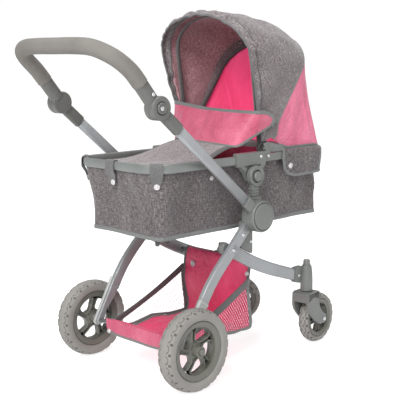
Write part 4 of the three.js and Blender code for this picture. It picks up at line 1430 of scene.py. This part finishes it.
def make_hood():
    """The front cloth spans the two bows, and the rear cloth spans the cot and the rear bow."""
    front_turn = ("hood_rear_frame", "hood_front_frame", hood_spot(54.8), hood_spot(90))
    rear_turn = ("carrycot", "hood_rear_frame", hood_spot(4), hood_spot(54.8))
    columns = hood_columns()
    rows = []
    steps = 60
    for n in range(steps + 1):
        share = n / steps
        start = 14 + 20 * (1 - ease(share * 2.2))
        row = []
        for k, column in enumerate(columns):
            low = along_table(SEAM, column_radius(column, start))
            angle = low + (FRONT_EDGE - low) * share
            reach = 1 if column[2] is not None else column[1]
            seam_angle = 94.5 + 5.3 * reach
            across = max(0.0, min(1.0, (angle - seam_angle) / (FRONT_EDGE - seam_angle)))
            band = math.sin(math.pi * across) ** 0.6 if 0 < across < 1 else 0.0
            pucker = 1.2 * ripple(k / 3.4, 2 + angle / 24, 41) + 0.7 * ripple(k / 1.7, angle / 8, 43)
            ruche = (band * (3.6 + 4.6 * pucker) + 2.0 * ease(across * 3) * pucker) * (0.3 + 0.7 * reach)
            calm = ease((seam_angle - angle) / 3)
            waves = 6.0 * ripple(k / 8, share * 2.6, 47) + 4.0 * ripple(k / 4.2, share * 4.4, 53)
            slack = calm * math.sin(math.pi * ease(share * 1.1)) * waves
            gather = 1.1 * (1 - calm) * (1 - ease(across * 2)) * ripple(k / 1.6, 3, 59)
            sunk = -2.0 * math.exp(-(((angle - seam_angle) / 0.9) ** 2))
            row.append(hood_point(column, start, angle, ruche + slack + sunk + gather))
        rows.append(row)
    front = cloth("hood_front_cover", rows, "heather", front_turn, 2.0, False,
                  ["hood_front"], "lining")

    side_seam = along_table(SEAM, 270)
    seam_row = min(range(len(rows)), key=lambda n: abs(side_seam + (FRONT_EDGE - side_seam) * n / steps
        - 99.8))
    seam_grid = (None, [front[1][seam_row], front[1][seam_row + 1]],
                 [front[2][seam_row], front[2][seam_row + 1]])
    # The front band is folded back on itself, so its inside is heather too
    across_count = len(columns) - 1
    for n in range(seam_row, steps):
        for k in range(across_count):
            front[0].data.polygons[(steps + n) * across_count + k].material_index = 0
    hem("hood_seam", seam_grid, ["start"], "strap", front_turn, 3.4, 4.6)
    hem("hood_front_fold", front, ["end"], "strap_light", front_turn, 5, 4.2)
    hem("hood_rear_seam", front, ["start"], "binding", rear_turn, 4.5, 3.8)

    # Rear: from the seam down to the rim
    rows = []
    steps = 36
    top_row = front[1][0]
    for n in range(steps + 1):
        share = n / steps
        row = []
        for k, column in enumerate(columns):
            end, part, over = column
            start = top_row[k]
            if over is None:
                foot = Vector((279 + 112 * part, end * 109.5, 417.5 + 13 * max(0.0, 1 - part * 3.2) ** 2))
            else:
                foot = Vector((391 + 33 * abs(math.sin(over)) ** 0.5,
                               -109.5 * math.copysign(abs(math.cos(over)) ** 0.55, math.cos(over)),
                               417.5 - 8 * abs(math.sin(over)) ** 0.6))
            p = start.lerp(foot, share)
            sag = math.sin(math.pi * share)
            centre = Vector((300, 0, 500))
            inwards = (centre - p)
            inwards.z = 0
            inwards = inwards.normalized() if inwards.length > 1 else Vector((0, 0, 0))
            depth = 5.5 if over is not None else 2.0
            fold = 1.8 * ripple(k / 7, share * 2.2, 61) + 1.0 * ripple(k / 3.2, share * 4.0, 67)
            drag = 1.6 * sag * math.sin(5.0 * share + k / 5.0)
            loose = (fold + 0.5 * drag) * ease(share * 4) * ease((1 - share) * 4)
            row.append(p + inwards * (depth * sag + loose))
        rows.append(row)
    # Inside it is the deep pink with a painted glow; outside, the lighter copy of the flap's pink, painted
    # light.
    rear = cloth("hood_rear_cover", rows, "deep_pink", rear_turn, 1.8, False, ["hood_rear"],
                 "rear_pink")
    hem("hood_hem", rear, ["end"], "binding", rear_turn, 8.5, 3.6)

    for letter, side in SIDES.items():
        high = smooth_path([(226, 0, 437), (244, 0, 437), (262, 0, 433), (280, 0, 428)], 16)
        low = smooth_path([(228, 0, 425), (246, 0, 419), (266, 0, 417.2), (291, 0, 416.5)], 16)
        tail_rows = []
        for n in range(9):
            share = n / 8
            row = []
            for k, (a, b) in enumerate(zip(high, low)):
                p = a.lerp(b, share)
                sideways = 116.4 + 1.4 * math.sin(math.pi * share) + 0.9 * ripple(k / 3, share * 2, 91)
                row.append((p.x, side * sideways, p.z))
            tail_rows.append(row)
        ordered = tail_rows if side < 0 else [list(reversed(r)) for r in tail_rows]
        tail = cloth(f"hood_tail_{letter}", ordered, "binding", "carrycot", 1.6)
        hem(f"hood_tail_binding_{letter}", tail, ["end"], "binding", "carrycot", 7, 3.0)

    sleeve_rows = []
    for shift_by in (0, 1, 2, 3, 4):
        row = []
        for column in columns:
            angle = 52.5 + 1.6 * shift_by
            row.append(hood_point(column, 40, angle, -4.4 - 1.2 * math.sin(math.pi * shift_by / 4)))
        sleeve_rows.append(row)
    sleeve_made = cloth("hood_bow_sleeve", sleeve_rows, "heather", "hood_rear_frame", 1.4)


FLAP_DROP = [(0, 0.1), (0.06, 0.62), (0.16, 0.86), (0.34, 1.0), (0.8, 0.98), (1.0, 0.95)]


def make_hood_skirt():
    """The grey skirt under the hood's hem hangs over the rim tube and snaps to the cot's side."""
    for letter, side in SIDES.items():
        rows = []
        for n in range(15):
            share = n / 14
            row = []
            for k in range(41):
                x = 281 + 118 * k / 40
                reach = 16 + 38 * along_table(FLAP_DROP, k / 40)
                line = [(111.5, 417.5), (115, 419.4), (119.5, 418.6), (121.6, 414), (122.0, 408),
                        (121.6, 398), (119.5, 386), (117.2, 374), (116, 362)]
                spot = share * reach / 54
                place = smooth_at(line, spot)
                wave = 0.8 * ripple(k / 7, share * 2, 71)
                row.append((x + 3 * share * (k / 40 - 0.5), side * (place[0] + wave * share), place[1]))
            rows.append(row)
        made = cloth(f"hood_skirt_{letter}", rows if side < 0 else [list(reversed(r)) for r in rows],
                     "cot_cloth", "carrycot", 1.6)
        hem(f"hood_skirt_binding_{letter}", made, ["-left", "end", "right"], "binding", "carrycot", 6.5, 3.0)
        snap(f"hood_skirt_snap_{letter}", (304, side * 120.6, 386), (0, side, 0), "carrycot", 5.8)


def smooth_at(line, share):
    """A point at a share of a polyline's length."""
    lengths = [0.0]
    for a, b in zip(line, line[1:]):
        lengths.append(lengths[-1] + math.dist(a, b))
    wanted = share * lengths[-1]
    for n in range(len(line) - 1):
        if wanted <= lengths[n + 1]:
            part = (wanted - lengths[n]) / (lengths[n + 1] - lengths[n])
            return tuple(p + (q - p) * part for p, q in zip(line[n], line[n + 1]))
    return line[-1]


# ---- Basket ----

BASKET_HALF = 96.0
BASKET_LINE = [(-3.5, 0, 86.5), (3, 0, 87), (9, 0, 84), (17, 0, 74), (34, 0, 60), (62, 0, 54), (115, 0, 57),
               (167, 0, 58), (202, 0, 60), (214, 0, 64), (215, 0, 84), (209, 0, 120), (206.5, 0, 145),
               (209, 0, 170), (211.5, 0, 186), (213, 0, 193), (216, 0, 198.4), (221.5, 0, 200.2),
               (228, 0, 198)]
FLOOR_EDGE = [(-3.5, 82), (9, 82), (17, 70), (34, 61), (64, 59), (115, 67), (167, 60), (202, 60), (214, 62)]


def make_basket():
    turn = ("chassis", "front_frame", at(60, 0, 60), at(214, 0, 120))
    line = smooth_path(BASKET_LINE, 90)
    rows = []
    for p in line:
        row = []
        for k in range(45):
            side = 2 * k / 44 - 1
            y = side * BASKET_HALF
            z = p.z
            floor_part = 1 - ease((p.x - 196) / 14) if p.z < 110 else 0.0
            edge_z = along_table(FLOOR_EDGE, p.x)
            z += floor_part * (edge_z - p.z) * abs(side) ** 3
            upright_part = ease((p.z - 62) / 20) * (1 if p.x > 180 else 0)
            fold = 1.6 * ripple(p.x / 30 + p.z / 40, y / 34, 83)
            fold += 1.0 * ripple(p.x / 16 + p.z / 20, y / 18, 89)
            z += floor_part * fold * (1 if p.x > 14 else 0.2)
            bow = 3.0 * (1 - side * side) * math.sin(math.pi * min(1, max(0, (p.z - 62) / 130)))
            x = p.x + upright_part * (fold * 1.1 - bow)
            if p.z > 172 and p.x > 190:
                x = p.x
            row.append((x, y, z))
        rows.append(row)
    made = cloth("basket_cloth", rows, "pink", turn, 1.8, False, ["basket"])
    hem("basket_hem_front", made, ["end"], "binding", turn, 8, 3.4)
    for letter, edge in (("R", "left"), ("L", "right")):
        hem(f"basket_hem_{letter}", made, [edge], "binding", turn, 7.5, 3.2)

    lip_rows = []
    for n in range(13):
        share = n / 12
        row = []
        for k in range(45):
            side = 2 * k / 44 - 1
            y = side * (BASKET_HALF + 1 - 9 * share)
            x = -4.5 - 4.0 * math.sin(share * 2.2) + 1.0 * ripple(k / 5, share * 2, 97)
            z = 87.5 - 29 * share + 1.6 * ripple(k / 9, 5, 3) * share + 3 * abs(side) ** 4 * share
            row.append((x, y, z))
        lip_rows.append(row)
    lip = cloth("basket_lip", lip_rows, "soft_pink", "chassis", 1.6)
    hem("basket_lip_binding", lip, ["end"], "binding", "chassis", 5.5, 3.0)

    for letter, side in SIDES.items():
        net_rows = []
        for n in range(13):
            share = n / 12
            row = []
            for k in range(41):
                x = 16 + 198 * k / 40
                low = along_table(FLOOR_EDGE, x) + 1
                front = along_table([(62, 214), (84, 214), (120, 208.5), (145, 206), (172, 209), (190, 213)],
                                    low + (166 - low) * share)
                reach = x * (front / 214)
                top = 82 + (x - 16) / 198 * 84 - 6 * math.sin(math.pi * (x - 16) / 198)
                z = low + (max(top, low + 2) - low) * share
                bulge = 3.5 * math.sin(math.pi * share) * math.sin(math.pi * k / 40)
                row.append((reach, side * (BASKET_HALF + bulge), z))
            net_rows.append(row)
        net = cloth(f"basket_net_{letter}", net_rows if side > 0 else [list(reversed(r)) for r in net_rows],
                    "net", turn, 0)
        hem(f"basket_strap_{letter}", net, ["end"], "strap_light", turn, 14, 2.6)
        hem(f"basket_net_front_{letter}", net, ["right" if side > 0 else "left"], "binding", turn, 7, 2.8)
        hem(f"basket_net_low_{letter}", net, ["start"], "binding", turn, 5, 2.8)
    snap("basket_snap_front_L", (206.3, 66, 169), (-1, 0, 0), "front_frame", 6.5)
    snap("basket_snap_front_R", (208.3, -90, 172), (-1, 0, 0), "front_frame", 5.5)
    snap("basket_snap_lip_L", (-9.6, 84, 64), (-1, 0, 0), "chassis", 4.6)
    snap("basket_snap_lip_R", (-9.6, -84, 64), (-1, 0, 0), "chassis", 4.6)


def build():
    make_materials()
    make_camera()
    make_studio()
    restyle()
    make_rear_wheels()
    make_casters()
    make_caster_posts()
    make_screws()
    make_front_legs()
    make_leg_sockets()
    make_hubs()
    make_handle()
    make_grip()
    make_seat_mounts()
    make_rim_tubes()
    make_cot()
    make_rim_straps()
    make_mattress()
    make_apron()
    make_wind_flap()
    make_hood()
    make_hood_skirt()
    make_basket()


build()
